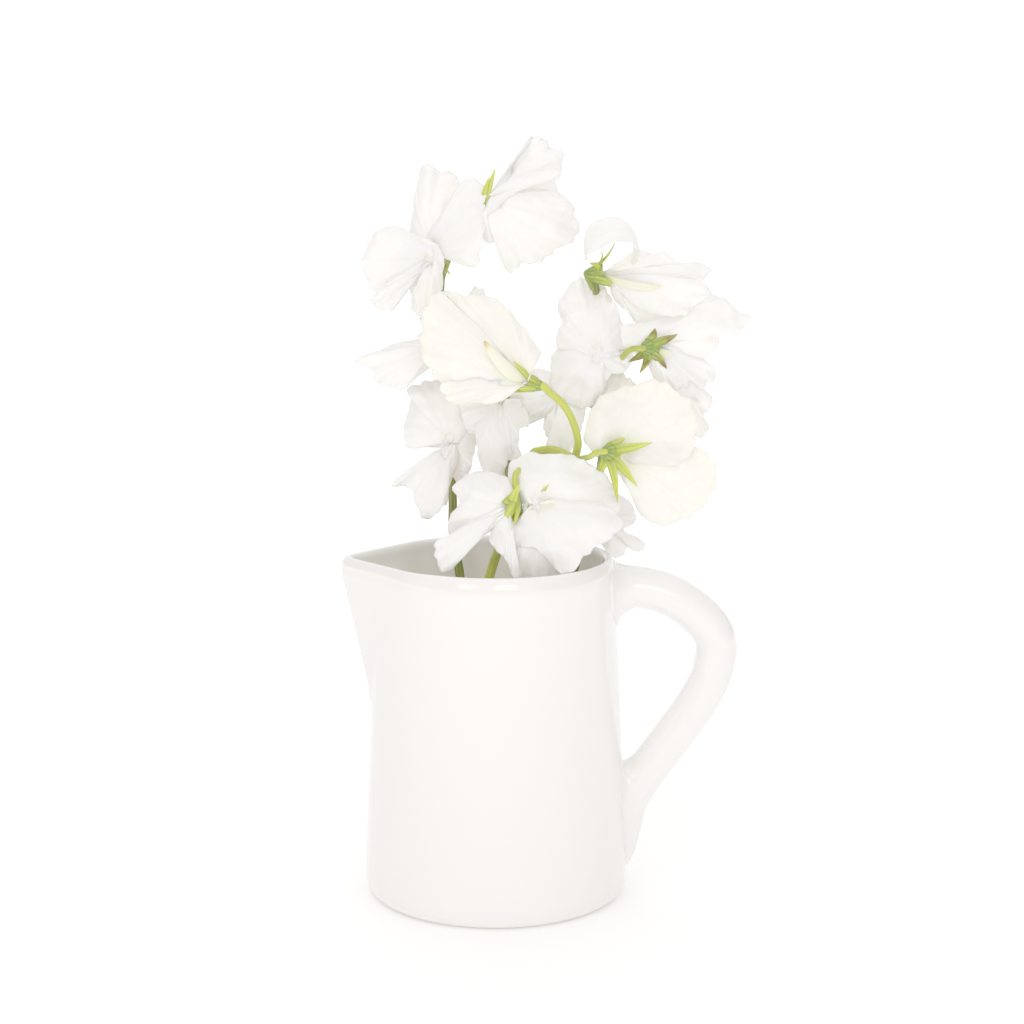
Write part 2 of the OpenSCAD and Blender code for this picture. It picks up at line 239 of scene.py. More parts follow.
lens = bpy.data.cameras.new("studioCamera")
lens.lens = view["lens"]
lens.sensor_width = 36
lens.clip_end = 20
camera = linkPiece("studioCamera", lens)
camera.location = (view["x"] * mm, -view["distance"] * mm, view["height"] * mm)
camera.rotation_euler = (math.radians(view["tilt"]), 0, 0)
bpy.context.scene.camera = camera
bpy.context.scene.view_settings.view_transform = "Standard"
bpy.context.scene.view_settings.gamma = view["gamma"]  # a high-key print


def softBox(side):
    lamp = bpy.data.lights.new(side + "Box", "AREA")
    lamp.shape = "RECTANGLE"
    lamp.size, lamp.size_y = light[side + "Box"]
    lamp.energy = light[side]
    made = linkPiece(side + "Box", lamp)
    made.location = light[side + "Place"]
    made.rotation_euler = (Vector(light["target"]) - made.location).to_track_quat("-Z", "Y").to_euler()


def makeSky():
    # brighter behind and above, dimmer towards the left and right, so that white edges stay readable
    world = bpy.data.worlds.new("paleStudio")
    world.use_nodes = True
    tree, sky = world.node_tree, world.node_tree.nodes["Background"].inputs
    add, subtract, multiply = sums(tree)
    way = addNode(tree, "ShaderNodeTexCoord").outputs["Generated"]
    way = addNode(tree, "ShaderNodeSeparateXYZ", {0: way}).outputs
    behind = smoothRange(tree, way["Y"], 0.05, 0.6)
    aside = smoothRange(tree, calc(tree, "ABSOLUTE", way["X"]), 0.35, 0.95)
    level = add(multiply(behind, light["backdrop"] - light["sky"]), light["sky"])
    level = add(level, smoothRange(tree, way["Z"], 0.55, 0.95, end=light["zenith"]))
    share = subtract(1.0, multiply(aside, 1 - light["side"]))
    link(tree, mixColor(tree, aside, (1, 1, 1, 1), light["sideTint"]), sky["Color"])
    link(tree, multiply(level, share), sky["Strength"])
    bpy.context.scene.world = world


def makeFloor():
    # a lit sweep: it glows more, the farther it is from the object
    material, tree, shader = newMaterial("paleFloor", {"Roughness": 0.9, "Specular IOR Level": 0.1,
                                                       "Emission Color": (1, 1, 1, 1)})
    away = addNode(tree, "ShaderNodeVectorMath", {0: addNode(tree, "ShaderNodeTexCoord").outputs["Object"]},
                   operation="LENGTH").outputs["Value"]
    glow = smoothRange(tree, away, 0.2, 0.9, light["glow"], light["farGlow"])
    link(tree, glow, shader.inputs["Emission Strength"])
    floorColor = (*light["floor"], 1)
    dusty = tuple(c * light["dust"] for c in floorColor)
    link(tree, mixColor(tree, grain(tree, 40.0, 2.0), floorColor, dusty), shader.inputs["Base Color"])
    r = light["reach"]
    mesh = bpy.data.meshes.new("studioFloor")
    mesh.from_pydata([(-r, -r, 0), (r, -r, 0), (r, r, 0), (-r, r, 0)], [], [(0, 1, 2, 3)])
    mesh.materials.append(material)
    linkPiece("studioFloor", mesh)


makeSky()
softBox("left")
softBox("right")
makeFloor()
print("studio ready")


# --- glaze ---

glazeLook = {"Roughness": 0.1, "IOR": 1.5, "Coat Weight": 0.35, "Coat Roughness": 0.04}
# the inside colour is painted light: a lighter, warmer glaze in the hollow stands in for its warm bounce
# light
glazeColors = {"thick": (0.898, 0.872, 0.847, 1), "thin": (0.87, 0.835, 0.795, 1),
               "clay": (0.72, 0.66, 0.58, 1), "inside": (0.98, 0.94, 0.865, 1)}


def makeGlaze():
    material, tree, shader = newMaterial("whiteGlaze", glazeLook)
    add, _, multiply = sums(tree)
    cloud = grain(tree, 28.0, 3.0, Roughness=0.5)
    foot = attribute(tree, "bareClay")
    thin = multiply(attribute(tree, "thinGlaze"), add(cloud, 0.35), clamp=True)
    color = mixColor(tree, thin, glazeColors["thick"], glazeColors["thin"])
    # painted bounce light: inside the pitcher the glaze turns lighter and warmer
    color = mixColor(tree, attribute(tree, "inside"), color, glazeColors["inside"])
    link(tree, mixColor(tree, foot, color, glazeColors["clay"]), shader.inputs["Base Color"])
    rough = add(add(multiply(cloud, 0.05), 0.045), multiply(foot, 0.5))
    link(tree, rough, shader.inputs["Roughness"])
    grit = multiply(grain(tree, 2600.0, 2.0), add(multiply(foot, 0.4), 0.012))
    addBump(tree, shader, add(grain(tree, 55.0, 1.0), grit), 0.35, 0.0006)
    return material


whiteGlaze = makeGlaze()


# --- pitcher ---

# bounceDepth: how far below the rim the painted bounce light inside comes in fully
pitcher = {"wall": 4, "floor": 4.4, "footRound": 5, "innerRound": 9, "lipOut": 5, "lipIn": 3,
           "footRing": 35.5, "footHollow": 0.8, "leanIn": 4.5, "taperStart": 13, "spoutDrop": 50,
           "spoutLean": 41, "spoutBlend": 2.2, "spoutTip": 0.05, "spoutOver": 1.1, "tipRise": 9,
           "around": 240, "wobble": 0.16, "bounceDepth": 14}
bodyLow, bodyHigh = (np.array(c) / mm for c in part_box("pitcher_body"))
pitcher["height"] = bodyHigh[2]
pitcher["baseR"] = bodyHigh[0]
pitcher["reach"] = -bodyLow[0]
pitcher["rimR"] = pitcher["baseR"] - pitcher["leanIn"]


def wallRadius(z):
    p = pitcher
    t = np.clip((z - p["taperStart"]) / (p["height"] - 2 - p["taperStart"]), 0, 1.05)
    return p["baseR"] - (p["baseR"] - p["rimR"]) * t


def smoothMax(a, b, k):
    h = np.clip(0.5 + 0.5 * (a - b) / k, 0, 1)
    return b + (a - b) * h + k * h * (1 - h)


def outlineRadius(theta, z, inset):
    # the round wall with the pulled spout's two straight flanks let into it, at one height
    p = pitcher
    away = np.sqrt((np.abs(theta - math.pi)) ** 2 + p["spoutTip"] ** 2)
    lean = math.radians(p["spoutLean"])
    up = (z - (p["height"] - p["spoutDrop"])) / p["spoutDrop"]
    top = p["height"] - p["tipRise"]
    if z > top:
        up -= 0.5 * (z - top) ** 2 / p["tipRise"] / p["spoutDrop"]
    reach = wallRadius(z) + (p["reach"] + p["spoutOver"] - p["rimR"]) * up - inset
    near = reach * math.cos(lean - p["spoutTip"])
    beyond = np.cos(np.clip(away - lean, 0, 1.5))
    flank = np.where(away < lean, near / np.cos(np.minimum(away - lean, 0)), near * beyond)
    return smoothMax(wallRadius(z) - inset, flank, p["spoutBlend"])


def pitcherRows():
    # (kind, height or angle or radius) of each ring, from the middle of the underside to the inside's floor
    p = pitcher
    h, ring = p["height"], p["footRing"]
    rows = [("under", r) for r in (6, 14, 22, 29, ring - 2.5, ring - 1)]
    rows += [("ring", ring - 0.2), ("rest", ring + 0.3)]
    rows += [("foot", a) for a in np.linspace(-90, 0, 12)]
    rows += [("outer", z) for z in np.linspace(p["footRound"] + 2, h - p["lipOut"], 64)[:-1]]
    rows += [("lip", a) for a in np.linspace(0, 180, 25)]
    rows += [("inner", z) for z in np.linspace(h - p["lipIn"], p["floor"] + p["innerRound"], 46)[1:-1]]
    rows += [("well", a) for a in np.linspace(0, -90, 12)]
    return rows + [("floor", r) for r in (24, 16, 8)]


def pitcherRing(kind, at, theta):
    # the radii and the height of one ring
    p = pitcher
    h, turn = p["height"], math.radians(at)
    flat = {"under": p["footHollow"], "ring": 0.25, "rest": 0.0, "floor": p["floor"]}
    if kind in flat:
        return np.full_like(theta, at), flat[kind]
    if kind == "foot":
        r = p["baseR"] - p["footRound"] + p["footRound"] * math.cos(turn)
        return np.full_like(theta, r), p["footRound"] * (1 + math.sin(turn))
    if kind == "well":
        r = wallRadius(0) - p["wall"] - p["innerRound"] + p["innerRound"] * math.cos(turn)
        return np.full_like(theta, r), p["floor"] + p["innerRound"] * (1 + math.sin(turn))
    if kind == "lip":
        roll = p["lipOut"] if at < 90 else p["lipIn"]
        z = h - roll + roll * math.sin(turn)
        outer, inner = outlineRadius(theta, z, 0), outlineRadius(theta, z, p["wall"])
        return (outer + inner) / 2 + (outer - inner) / 2 * math.cos(turn), z
    return outlineRadius(theta, at, p["wall"] if kind == "inner" else 0), at


def makePitcherBody():
    p = pitcher
    h = p["height"]
    # more columns near the spout's tip than round the back
    s = np.linspace(-1, 1, p["around"] + 1)[:-1]
    theta = math.pi + math.pi * (0.35 * s + 0.65 * s ** 3)
    points, thin, bare, deep = [], [], [], []
    offset = Vector((3.1, 7.7, 1.3))
    worn = {"lip": 0.8, "foot": 0.5}
    for kind, at in pitcherRows():
        radii, z = pitcherRing(kind, at, theta)
        handMade = kind in ("outer", "inner") and 8 < z < h - 3
        for t, radius in zip(theta, radii):
            x, y = radius * math.cos(t), radius * math.sin(t)
            wobble = p["wobble"] * noise.noise(Vector((x, y, z * 0.6)) * 0.05 + offset) if handMade else 0.0
            grow = 1 + wobble / max(radius, 1)
            points.append((x * grow, y * grow, z))
        n = len(theta)
        thin += [worn.get(kind, 0.0)] * n
        bare += [float(z < 0.3 and kind in ("ring", "rest", "foot"))] * n
        inner = kind in ("inner", "well")
        # how much painted bounce light each inside ring gets: it grows from the rim down to the floor
        deep += [smoothstep(h, h - p["bounceDepth"], z) if inner else float(kind == "floor")] * n
    faces = tubeFaces(points, n, [(0, 0, p["footHollow"]), (0, 0, p["floor"])])
    piece = meshPiece("pitcherBody", points, faces, whiteGlaze, thinGlaze=thin + [0, 0],
                      bareClay=bare + [0, 0], inside=deep + [0, 1])
    place(piece, "white_glaze", "pitcher_body")


handle = {"thick": 14.8, "top": 104.5, "rings": 16, "sides": 48, "fillet": 7, "flat": 0.94, "highest": 112.6,
          "topSwell": 0.75, "lowSwell": 0.62}
# middle line: out from the axis, above (or below) the top joint, part of the thickness
handleLine = [(37.4, 0, 1.12), (41, 0.2, 1.08), (48, 0.8, 1), (57.5, -1.6, 1), (66, -6.7, 1),
              (72.6, -13.6, 1), (74.4, -20.5, 1), (72.4, -30.5, 0.98), (67.5, -40, 0.98),
              (61, -49.5, 0.98), (54.5, -58.5, 0.96), (49.5, -66.5, 0.9), (46, -74.5, 0.8),
              (44.5, -82.5, 0.72), (43.2, -90.5, 0.62), (40.6, -97, 0.45)]


def makeHandle():
    # a pulled round strap whose surface swells into a fillet wherever it comes near the wall
    line = smoothLine([(x, 0, handle["top"] + z) for x, z, _ in handleLine], handle["rings"])
    thick = smoothLine([(t, 0, 0) for _, _, t in handleLine], handle["rings"])[:, 0]
    along = np.gradient(line, axis=0)
    along /= np.linalg.norm(along, axis=1)[:, None]
    out = np.cross(along, (0, 1, 0))
    points = []
    fillet, n, count = handle["fillet"], handle["sides"], len(line)
    for i, centre in enumerate(line):
        r = thick[i] * handle["thick"] / 2
        share = handle["topSwell"] if i < count / 2 else handle["lowSwell"] * smoothstep(1.0, 0.75, i / count)
        for k in range(n):
            a = 2 * math.pi * k / n
            way = math.cos(a) * out[i] * handle["flat"] + math.sin(a) * np.array((0, 1, 0))
            spot = centre + r * way
            for _ in range(3):
                gap = math.hypot(spot[0], spot[1]) - wallRadius(spot[2]) - 0.2
                gap = min(max(gap, 0), fillet)
                swell = fillet - math.sqrt(fillet ** 2 - (fillet - gap) ** 2)
                spot = centre + (r + swell * share) * way
            spot[2] = min(spot[2], handle["highest"] + 0.35 * max(0, spot[2] - handle["highest"]))
            points.append(spot)
    ends = [np.mean(points[:n], axis=0), np.mean(points[-n:], axis=0)]
    faces = tubeFaces(points, n, ends)
    none = np.zeros(len(points))
    piece = meshPiece("pitcherHandle", points, faces, whiteGlaze, thinGlaze=none, bareClay=none, inside=none)
    place(piece, "white_glaze", "pitcher_handle")


makePitcherBody()
makeHandle()
print("pitcher ready")


# --- stem lines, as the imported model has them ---

stems = {
    "stem_left": [(2, 10, 6), (-6, 18, 55), (-12.5, 26, 103), (-15, 24, 119), (-15, 20, 135),
                  (-17.5, 15, 170), (-18.6, 14, 200), (-17, 14, 215), (-13, 14.5, 222)],
    "stem_right": [(-8, -6, 6), (6, 3, 50), (22, 11, 95), (29, 15, 116), (35, 15.5, 140),
                   (36.5, 14.5, 160), (36, 13.5, 178), (35, 12.5, 195), (33, 11, 206)],
    "stem_front": [(-31, 12, 6), (-17, 14, 55), (-2.5, 14, 105.5), (0.5, 12, 115), (6, 8, 132),
                   (11.5, 4, 148.5), (14.5, 3, 151), (19, 1, 151.7), (23.5, -1, 150.3), (27.5, -3, 149.3)],
    "stem_low": [(14, -20, 6), (15, -14, 60), (14, -8, 105), (12, -6, 120), (6, -5, 138),
                 (3.5, -3, 150), (2.5, -1, 160)],
}

# --- flowers ---

# Each flower: its stem, the way its calyx opens, its stalk's points, how far its petals stand in
# front of the calyx's mouth, its colour, its keel's tip, its seen sepals' tips, and its petals. A petal's
# line is its edge as it faces the front: (right, up) from the mouth. Slope is how fast it goes back
# towards the right and upwards. bend and curl lay its tip and its sides back.
flowers = {
    "flower_01": dict(
        stem="stem_left", way=(3, -2, 3), stalk=[(-17, 15, 213)], front=4, color="white", keel=(12, 1, 8),
        sepals=[(6.7, -7.3, -1), (-1, -4, -2), (3, 5, 3)],
        standard=[
            dict(line=[(-7, 4), (-6, 15), (-4.8, 23), (-3.2, 30.3), (2, 28.8), (7.5, 27.3), (9.4, 24),
                (12.5, 18), (13, 11), (8, 3)], slope=(-0.1, 0.15), crease=0.6,
                marks=[(0.56, 1.0, 0.018, 0.6)])],
        wings=[
            dict(line=[(-5, 2), (0.5, 9), (5.5, 16.5), (9.5, 22.3), (11.5, 24), (15, 22), (17.3, 18),
                (17, 11), (16.7, 4), (16.2, -3), (14.5, -5.6), (11.5, -5), (8.5, -0.5)], slope=(-0.3, -0.1),
                bend=4),
            dict(line=[(-3, 4), (0, 12), (6, 14), (12, 10), (12, 3), (6, 1)], slope=(0.6, 0.3))]),
    "flower_02": dict(
        stem="stem_left", way=(-4, -2, -1), stalk=[(-18, 14, 208)], front=4, color="white",
        keel=(-13, -9, -5), boat=(-9, 4, -4), bell=0.7,
        standard=[
            dict(line=[(0, 7), (-7, 10), (-13.5, 12.2), (-18, 10), (-21.5, 5), (-22.4, -1), (-20.5, -7),
                (-16, -10.5), (-10, -10), (-4, -6)], slope=(0.1, 0.05), bend=4, ruffle=0.8)],
        wings=[
            dict(line=[(-12, -4), (-17, -9), (-19.3, -13.5), (-16, -15), (-12.3, -16), (-11, -11.3),
                (-6, -5)], slope=(0.2, 0.2)),
            dict(line=[(-8, -3), (-7, -10), (-6.5, -15.5), (-1.5, -19.5), (1.5, -14), (3.5, -8), (3, -2)],
                slope=(0, 0.25), ruffle=1.6),
            dict(line=[(0, -7), (-6, -8), (-12, -4), (-12, 4), (-6, 8), (1, 6), (4, 1), (3, -5), (0, -7)],
                slope=(0.1, 0), hood=1.5, bend=3)]),
    "flower_03": dict(
        stem="stem_left", way=(1, 1, 3), stalk=[(-12, 15, 223), (-7, 16, 225)], front=0, color="white",
        keel=(14, 4, -2), bell=0.75, sepals=[(-3.2, 4.6, -1), (1.2, 7.5, -2), (3.3, 10.6, -1)],
        standard=[
            dict(line=[(1.5, 2), (6, 6), (10, 9), (13.7, 12.5), (15.5, 18), (15.5, 23), (19, 22.3),
                (23.5, 19), (27, 17.2), (25.4, 15), (26, 11.5), (24, 7.5), (23.5, 3.5), (16, -2)],
                slope=(0.1, 0.15), crease=0.8)],
        wings=[
            dict(line=[(6, 1), (12, 4), (20, 4.5), (25, 2.2), (28, -1.5), (28.7, -7.5), (26, -13),
                (21.5, -15.6), (17.5, -18.3), (14, -20.7), (10.5, -20.5), (7.5, -22.6), (5, -21), (3.5, -16),
                (2.5, -8)], slope=(-0.2, 0.1), bend=6, curl=3),
            dict(line=[(0, -2), (-1.3, -8), (-1.5, -12.5), (1.5, -13.5), (4, -8), (7, -1.2), (12, 3),
                (19, 5.7), (24, 8.5), (20, 10), (11.5, 8), (3, 3)], slope=(-0.35, 0), ruffle=0.5, bend=2)]),
    "flower_04": dict(
        stem="stem_left", way=(-2, -2, 1), stalk=[(-18, 14, 182)], front=2, color="white", keel=(-12, 3, 2),
        boat=(-9, 3, -3), bell=0.75, sepals=[(-5.3, 9.7, 0)],
        standard=[
            dict(line=[(1, 6), (8, 14), (12, 20), (14.3, 22.7), (17, 20.7), (21, 15.7), (25, 13.3), (23, 8),
                (12, 1)], slope=(0.3, 0.4))],
        wings=[
            dict(line=[(-2, 3), (-11.5, 1.7), (-18, -1), (-25.3, -4), (-23, -6.2), (-20, -8.5), (-19, -11.5),
                (-15, -13), (-10, -14.2), (-7, -11), (-3, -8), (2, -4)], slope=(0.15, 0.1), bend=3, curl=3),
            dict(line=[(-2, 1), (-12, -1), (-15, -7), (-10, -10), (-2, -6)], slope=(-0.5, 0))]),
    "flower_05": dict(
        stem="stem_front", way=(-4, 0, 1), front=1, color="cream", keel=(-15, -9, 9), boat=(-14.5, -10, 12),
        boatEnd=0.9, bell=0.75, stalk=[(26.8, -3.5, 151.5), (27.2, -7, 156), (25.3, -11, 163),
        (22, -15, 169), (17.5, -19, 173.5)], thick=1.25, fresh=0.95, sepals=[(-4, 6.3, -6), (-6, -3, 3)],
        standard=[
            dict(line=[(1, 1), (3, 6.5), (5, 10), (1.6, 14.5), (-1.8, 19), (-6, 24.3), (-12, 28.3),
                (-18.5, 28.7), (-26.3, 29.7), (-25, 24), (-19, 15), (-12, 5), (-6, -1)], slope=(0.1, 0.1),
                bend=3, crease=0.5, marks=[(0.2, 0.99, 0.015, 0.3)])],
        wings=[
            dict(line=[(-7, 4), (-13, 11), (-18, 19), (-22, 25), (-26.5, 29.5), (-30, 25), (-32.3, 19),
                (-32.6, 12), (-30.6, 5), (-26, -0.5), (-18, -3), (-8, -2)], slope=(0.2, -0.05), bend=6,
                curl=4, crumple=0.7),
            dict(line=[(-6, 2), (-16, 3), (-26, 0), (-26, -3.5), (-23, -6.9), (-17, -6.4), (-12, -7),
                (-7, -5.5), (-2, -1)], slope=(0.15, 0.1), bend=2)]),
    "flower_06": dict(
        stem="stem_left", way=(-2, -4, -2), stalk=[(-16, 17, 150)], front=3, color="white",
        keel=(-9, -13, -5), boat=(-3, 4, -8), bell=0.7, sepals=[(-9.3, -0.3, -3)],
        standard=[
            dict(line=[(-3, -0.5), (-9, -0.7), (-13.7, -1.2), (-15.6, 3), (-15.3, 9), (-13.5, 15),
                (-14.7, 19), (-9, 22), (0, 22.5), (6, 20), (8.5, 14), (7.5, 7), (5, 0)], slope=(0, 0.15),
                bend=3, ruffle=1.5)],
        wings=[
            dict(line=[(-3, -1), (-7, -6), (-12, -7.5), (-18, -11), (-19, -13.5), (-14.5, -12.7),
                (-12.5, -15), (-11.7, -19), (-7.7, -23.8), (-3.7, -22.2), (-1, -19), (-0.5, -14), (1.7, -9),
                (3, -3)], slope=(0.05, 0.3), bend=3, ruffle=1.2, marks=[(0.88, 0.93, 0.05, 0.7)]),
            dict(line=[(0, -0.5), (-4, -2.5), (-6.3, -6), (-6, -10), (-2.5, -10.6), (0.7, -7), (1.5, -2)],
                slope=(0.1, 0.55), curl=2),
            dict(line=[(1, -10), (-3, -5), (-3.5, 1), (-1, 7), (4, 8), (8.3, 4), (8, -3), (6, -10),
                (3.5, -13), (1, -10)], slope=(0.1, 0.1), hood=1, bend=3)]),
    "flower_07": dict(
        stem="stem_low", way=(0, -4, -3), stalk=[(2.5, -1, 160)], front=2, color="white", bell=0.7,
        keel=(1, 1, -13),
        standard=[
            dict(line=[(-9, 2), (-9.5, -5), (-8.3, -13), (-7.5, -20), (-5, -24), (-1, -25.3), (2.5, -24),
                (6.2, -21), (6.3, -17), (3.7, -14), (3.6, -9), (7, -5), (6, 1)], slope=(0, 0.1), bend=3)],
        wings=[
            dict(line=[(1, 1), (-2, -7), (-2, -14), (2, -17.5), (5.5, -14), (6, -9), (9, -7), (8, -1)],
                slope=(0, 0.2), curl=3),
            dict(line=[(-1, 3), (-8, 5), (-13, 0), (-12, -8), (-7, -11), (-2, -5)], slope=(0.1, 0.05),
                bend=3)]),
    "flower_08": dict(
        stem="stem_right", way=(-4, -2, 0), stalk=[(36, 14.5, 163)], front=4, color="white", bell=0.7,
        keel=(-8, 1, -11), boat=(-6, 6, -6),
        standard=[
            dict(line=[(3, 6), (-4, 9.7), (-11, 8.5), (-17, 4), (-19.6, -1), (-18.5, -5), (-15, -9.3),
                (-9.5, -8.9), (-3, -6)], slope=(0.15, 0.1), bend=4, ruffle=1.8, waves=7)],
        wings=[
            dict(line=[(-3, -3), (-5, -9.5), (-2.8, -14.5), (-4.4, -18.5), (1, -19.3), (6, -16), (8.5, -8),
                (9.5, 0), (3, 3)], slope=(0.1, 0.1), bend=3, ruffle=1.6),
            dict(line=[(1, 3), (-6, 1.5), (-12, -1.5), (-11, -5.5), (-5, -6.5), (1, -3)], slope=(0.25, 0.2),
                curl=2)]),
    "flower_09": dict(
        stem="stem_right", way=(-3, -2, 2), stalk=[(36.5, 13, 172)], front=5, color="white", bell=0.7,
        keel=(-14, 3, 4),
        standard=[
            dict(line=[(-8, 0), (-13.5, 4), (-13.8, 8), (-12, 12.3), (-13.4, 18), (-11.5, 22.3),
                (-7.7, 26.3), (-4, 28.2), (1, 26.5), (5.5, 19), (8, 12), (9, 3)], slope=(0, 0.2), bend=3,
                ruffle=1.8, waves=7)],
        wings=[
            dict(line=[(-4, 6), (-11, 6), (-15, 0.5), (-15.6, -6), (-14, -11), (-9, -14.6), (-2.5, -16.2),
                (2, -11), (4, -3)], slope=(0.05, 0.05), bend=4, curl=3),
            dict(line=[(0, 5), (6, 11), (12, 9), (13, 1), (8, -5), (1, -4)], slope=(0.3, 0.2)),
            dict(line=[(-1, -9), (-7, -8), (-11, -1), (-9, 7), (-3, 12), (4, 9), (7, 2), (4, -6), (-1, -9)],
                slope=(0.05, 0.1), hood=1.5, bend=4)]),
    "flower_10": dict(
        stem="stem_right", way=(4, 0, 0), stalk=[(32.5, 11, 204.5)], front=-1, color="white",
        keel=(17, -2, -5), boat=(17.5, -8, -6), green=0.6, sepals=[(3.4, 9.8, -2), (-1, 7, -1), (4, -4, 4),
        (-5, 3, -4)],
        standard=[
            dict(line=[(2, -2), (4, -8), (9, -13), (14, -16.7), (21, -15.7), (26.5, -13.3), (21, -6),
                (8, -1)], slope=(0.25, 0)),
            dict(tip=(-6, -5, 5), face=(0, -5, 8), start=(9, -2, 4), half=7, turn=240, curl=15, ruffle=0.5,
                waves=4, crease=0.3, crumple=0.45)],
        wings=[
            dict(line=[(3, 3), (10.7, 8.3), (16, 7), (20.5, 8), (23, 5.2), (25, 3.8), (33.5, 4.4),
                (35.2, 1.5), (33, -1.5), (26, -3), (14, -4), (4, -2)], slope=(0, 0.05), ruffle=1.0),
            dict(line=[(4, 0), (15, -1.5), (26, -1.5), (33, -4), (33.2, -7.5), (28.5, -8.7), (27, -13.3),
                (20, -14.2), (14, -12.6), (8, -9), (2, -4)], slope=(-0.25, 0.1), ruffle=1.2)]),
    "flower_11": dict(
        stem="stem_right", way=(3, 4, 0), front=-3, color="white", keel=(14, -1, -5), boat=(12, 3, -5),
        stalk=[(36.5, 12, 174), (41, 4, 181), (44, -3, 185.5)], fresh=0.6, bell=0.95, green=0.4, dry=0.9,
        sepals=[(0.4, 6, -1), (8, 4, -1), (4.5, -7.3, -2), (-4.5, -8.8, -2), (-8.2, -5, -2)],
        standard=[
            dict(line=[(-5, -2), (-12, 1.5), (-12.2, 6), (-8, 8.2), (-4, 8.5), (3, 9.5), (9, 11.5), (15, 15),
                (18.5, 17.2), (22.5, 18.2), (25.5, 17), (28, 14.7), (32.5, 11), (31, 7.5), (27, 5.5),
                (23, 4.5), (21.5, 0.5), (16, -4), (6, -5)], slope=(0.05, 0.1), ruffle=1.2, crease=0.5)],
        wings=[
            dict(line=[(-2, -3), (0, -9), (4, -14), (8, -17.5), (13, -18.2), (17, -15.7), (17.7, -12.5),
                (21.2, -9.5), (19.5, -5.3), (15, -2), (8, 1)], slope=(0, 0.05), ruffle=1.8, waves=6),
            dict(line=[(3, -7), (9, -18), (12.3, -26), (14.5, -29), (18.7, -29.4), (19.7, -26), (18, -22),
                (20.7, -19), (20.2, -15.5), (16.5, -13), (17, -8), (8, -2)], slope=(0.15, 0), ruffle=1.8,
                waves=7)]),
    "flower_12": dict(
        stem="stem_front", way=(3, 5, -1), front=-4, color="cream", keel=(9, 15, 2),
        stalk=[(28.5, -4.5, 149.5), (31, -12, 151.5), (33, -16, 153.5)], fresh=0.9, sepals=[(12.6, 3.2, -2),
        (7.9, -11.2, -2), (1.5, -16.6, -1), (-7.3, -9.7, 1), (4, 5, 4)],
        standard=[
            dict(line=[(-5, -1), (-9, 4), (-8.6, 10.5), (-6, 16), (-2, 19.3), (4, 21.3), (10, 22),
                (15, 22.7), (20, 19.3), (24.3, 15.5), (26.4, 10.5), (26.6, 5), (25, -1), (20, -5), (8, -5)],
                slope=(0.1, 0.25), bend=-4, ruffle=0.7, crease=-0.8)],
        wings=[
            dict(line=[(1, -5), (6, -13), (8, -19), (12, -22.3), (16, -23.7), (21, -22.8), (26, -19.3),
                (29.7, -15.5), (32.3, -11), (32.7, -6), (31.7, -1.5), (28, 2), (20, 3), (7, 2)],
                slope=(0.15, -0.1), bend=-4, ruffle=0.7, marks=[(0.83, 0.98, 0.02, 0.6)]),
            dict(line=[(-4, 10), (-6, 22), (-6.3, 29.5), (-1, 29.9), (4, 27.7), (8, 23.7), (9, 18), (4, 8)],
                slope=(0, 0.4), bend=2, marks=[(0.3, 1.0, 0.03, 0.5), (0.45, 0.9, 0.03, 0.3)])]),
    "flower_13": dict(
        stem="stem_low", way=(-2, -2, -4), front=0, color="white", keel=(-10, -8, -8), boat=(-6, 5, -6),
        bell=1.1, stalk=[(6, -6, 140), (8, -14, 147), (6.5, -20, 146.5)], fresh=0.8, sepals=[(3.9, 8.3, -2),
        (-2, -5, -3), (2, -5.5, -4), (-4, -3.5, 1), (1, -5, 2)],
        standard=[
            dict(line=[(3, 4), (1, 9.5), (-4, 12), (-9, 12.6), (-13, 11.7), (-17, 8), (-15.3, 3), (-17, 0),
                (-18.7, -4), (-17, -8), (-11, -7), (-4, -4)], slope=(0.1, 0.15), bend=4, ruffle=1.4)],
        wings=[
            dict(line=[(-6, 0), (-12, -4), (-17.5, -7.5), (-22.7, -10.5), (-23.4, -14), (-21.5, -18.5),
                (-19, -20.5), (-17, -17.5), (-14.3, -14.5), (-11, -11), (-6, -7.5), (0, -4.5)],
                slope=(0.15, 0.1), ruffle=0.8),
            dict(line=[(-1, -2), (-6, -8.5), (-4.5, -12), (-1, -16), (1, -20), (2.7, -24), (3.7, -20),
                (2.7, -14), (2, -5)], slope=(0, 0.2), ruffle=0.6)]),
    "flower_14": dict(
        stem="stem_low", way=(2, -4, -1), stalk=[(7, -6.5, 135)], front=2, color="white", keel=(9, -9, -3),
        boat=(6.5, -5, 0.5), bell=0.7, sepals=[(4.2, 7, -5)],
        standard=[
            dict(line=[(-4, 1), (-8, 8), (-8, 14.5), (-2, 17.5), (4, 17), (9, 17.3), (15, 16), (20, 13),
                (25, 9), (29, 3), (25, -4), (12, -4)], slope=(0.1, 0.15), bend=3, ruffle=1.6, waves=6)],
        wings=[
            dict(line=[(-4, -2), (-9, -7), (-10.2, -11.3), (-4.5, -13.2), (0, -14), (3.5, -16.5), (6.7, -20),
                (9.5, -21.5), (13, -19), (15, -15.5), (18, -13.2), (22, -11), (25, -8.5), (28.5, -4),
                (23, 1), (10, 3)], slope=(-0.1, 0.25), bend=3, ruffle=1.3, waves=5,
                marks=[(0.27, 0.99, 0.02, 0.4)]),
            dict(line=[(-5, -5), (-9.7, -12), (-8, -17), (-6.5, -22.5), (-3, -26), (3, -27), (6.7, -23),
                (7.3, -18), (5, -7)], slope=(0, 0), bend=3),
            dict(line=[(1, -6), (-3, -4), (-4, 1), (-1, 5), (5, 5), (9, 2), (10, -3), (6, -6), (1, -6)],
                slope=(0, 0.1), hood=0.5, bend=3)]),
    "flower_15": dict(
        stem="stem_right", way=(4, 0, -1), stalk=[(28.5, 20, 121)], front=3, color="white", bell=0.6,
        keel=(10, 4, 1),
        standard=[
            dict(line=[(-2, 2), (-3, 8), (2, 11), (8, 10), (12, 5), (11, 0), (4, -2)], slope=(0, 0.15))],
        wings=[
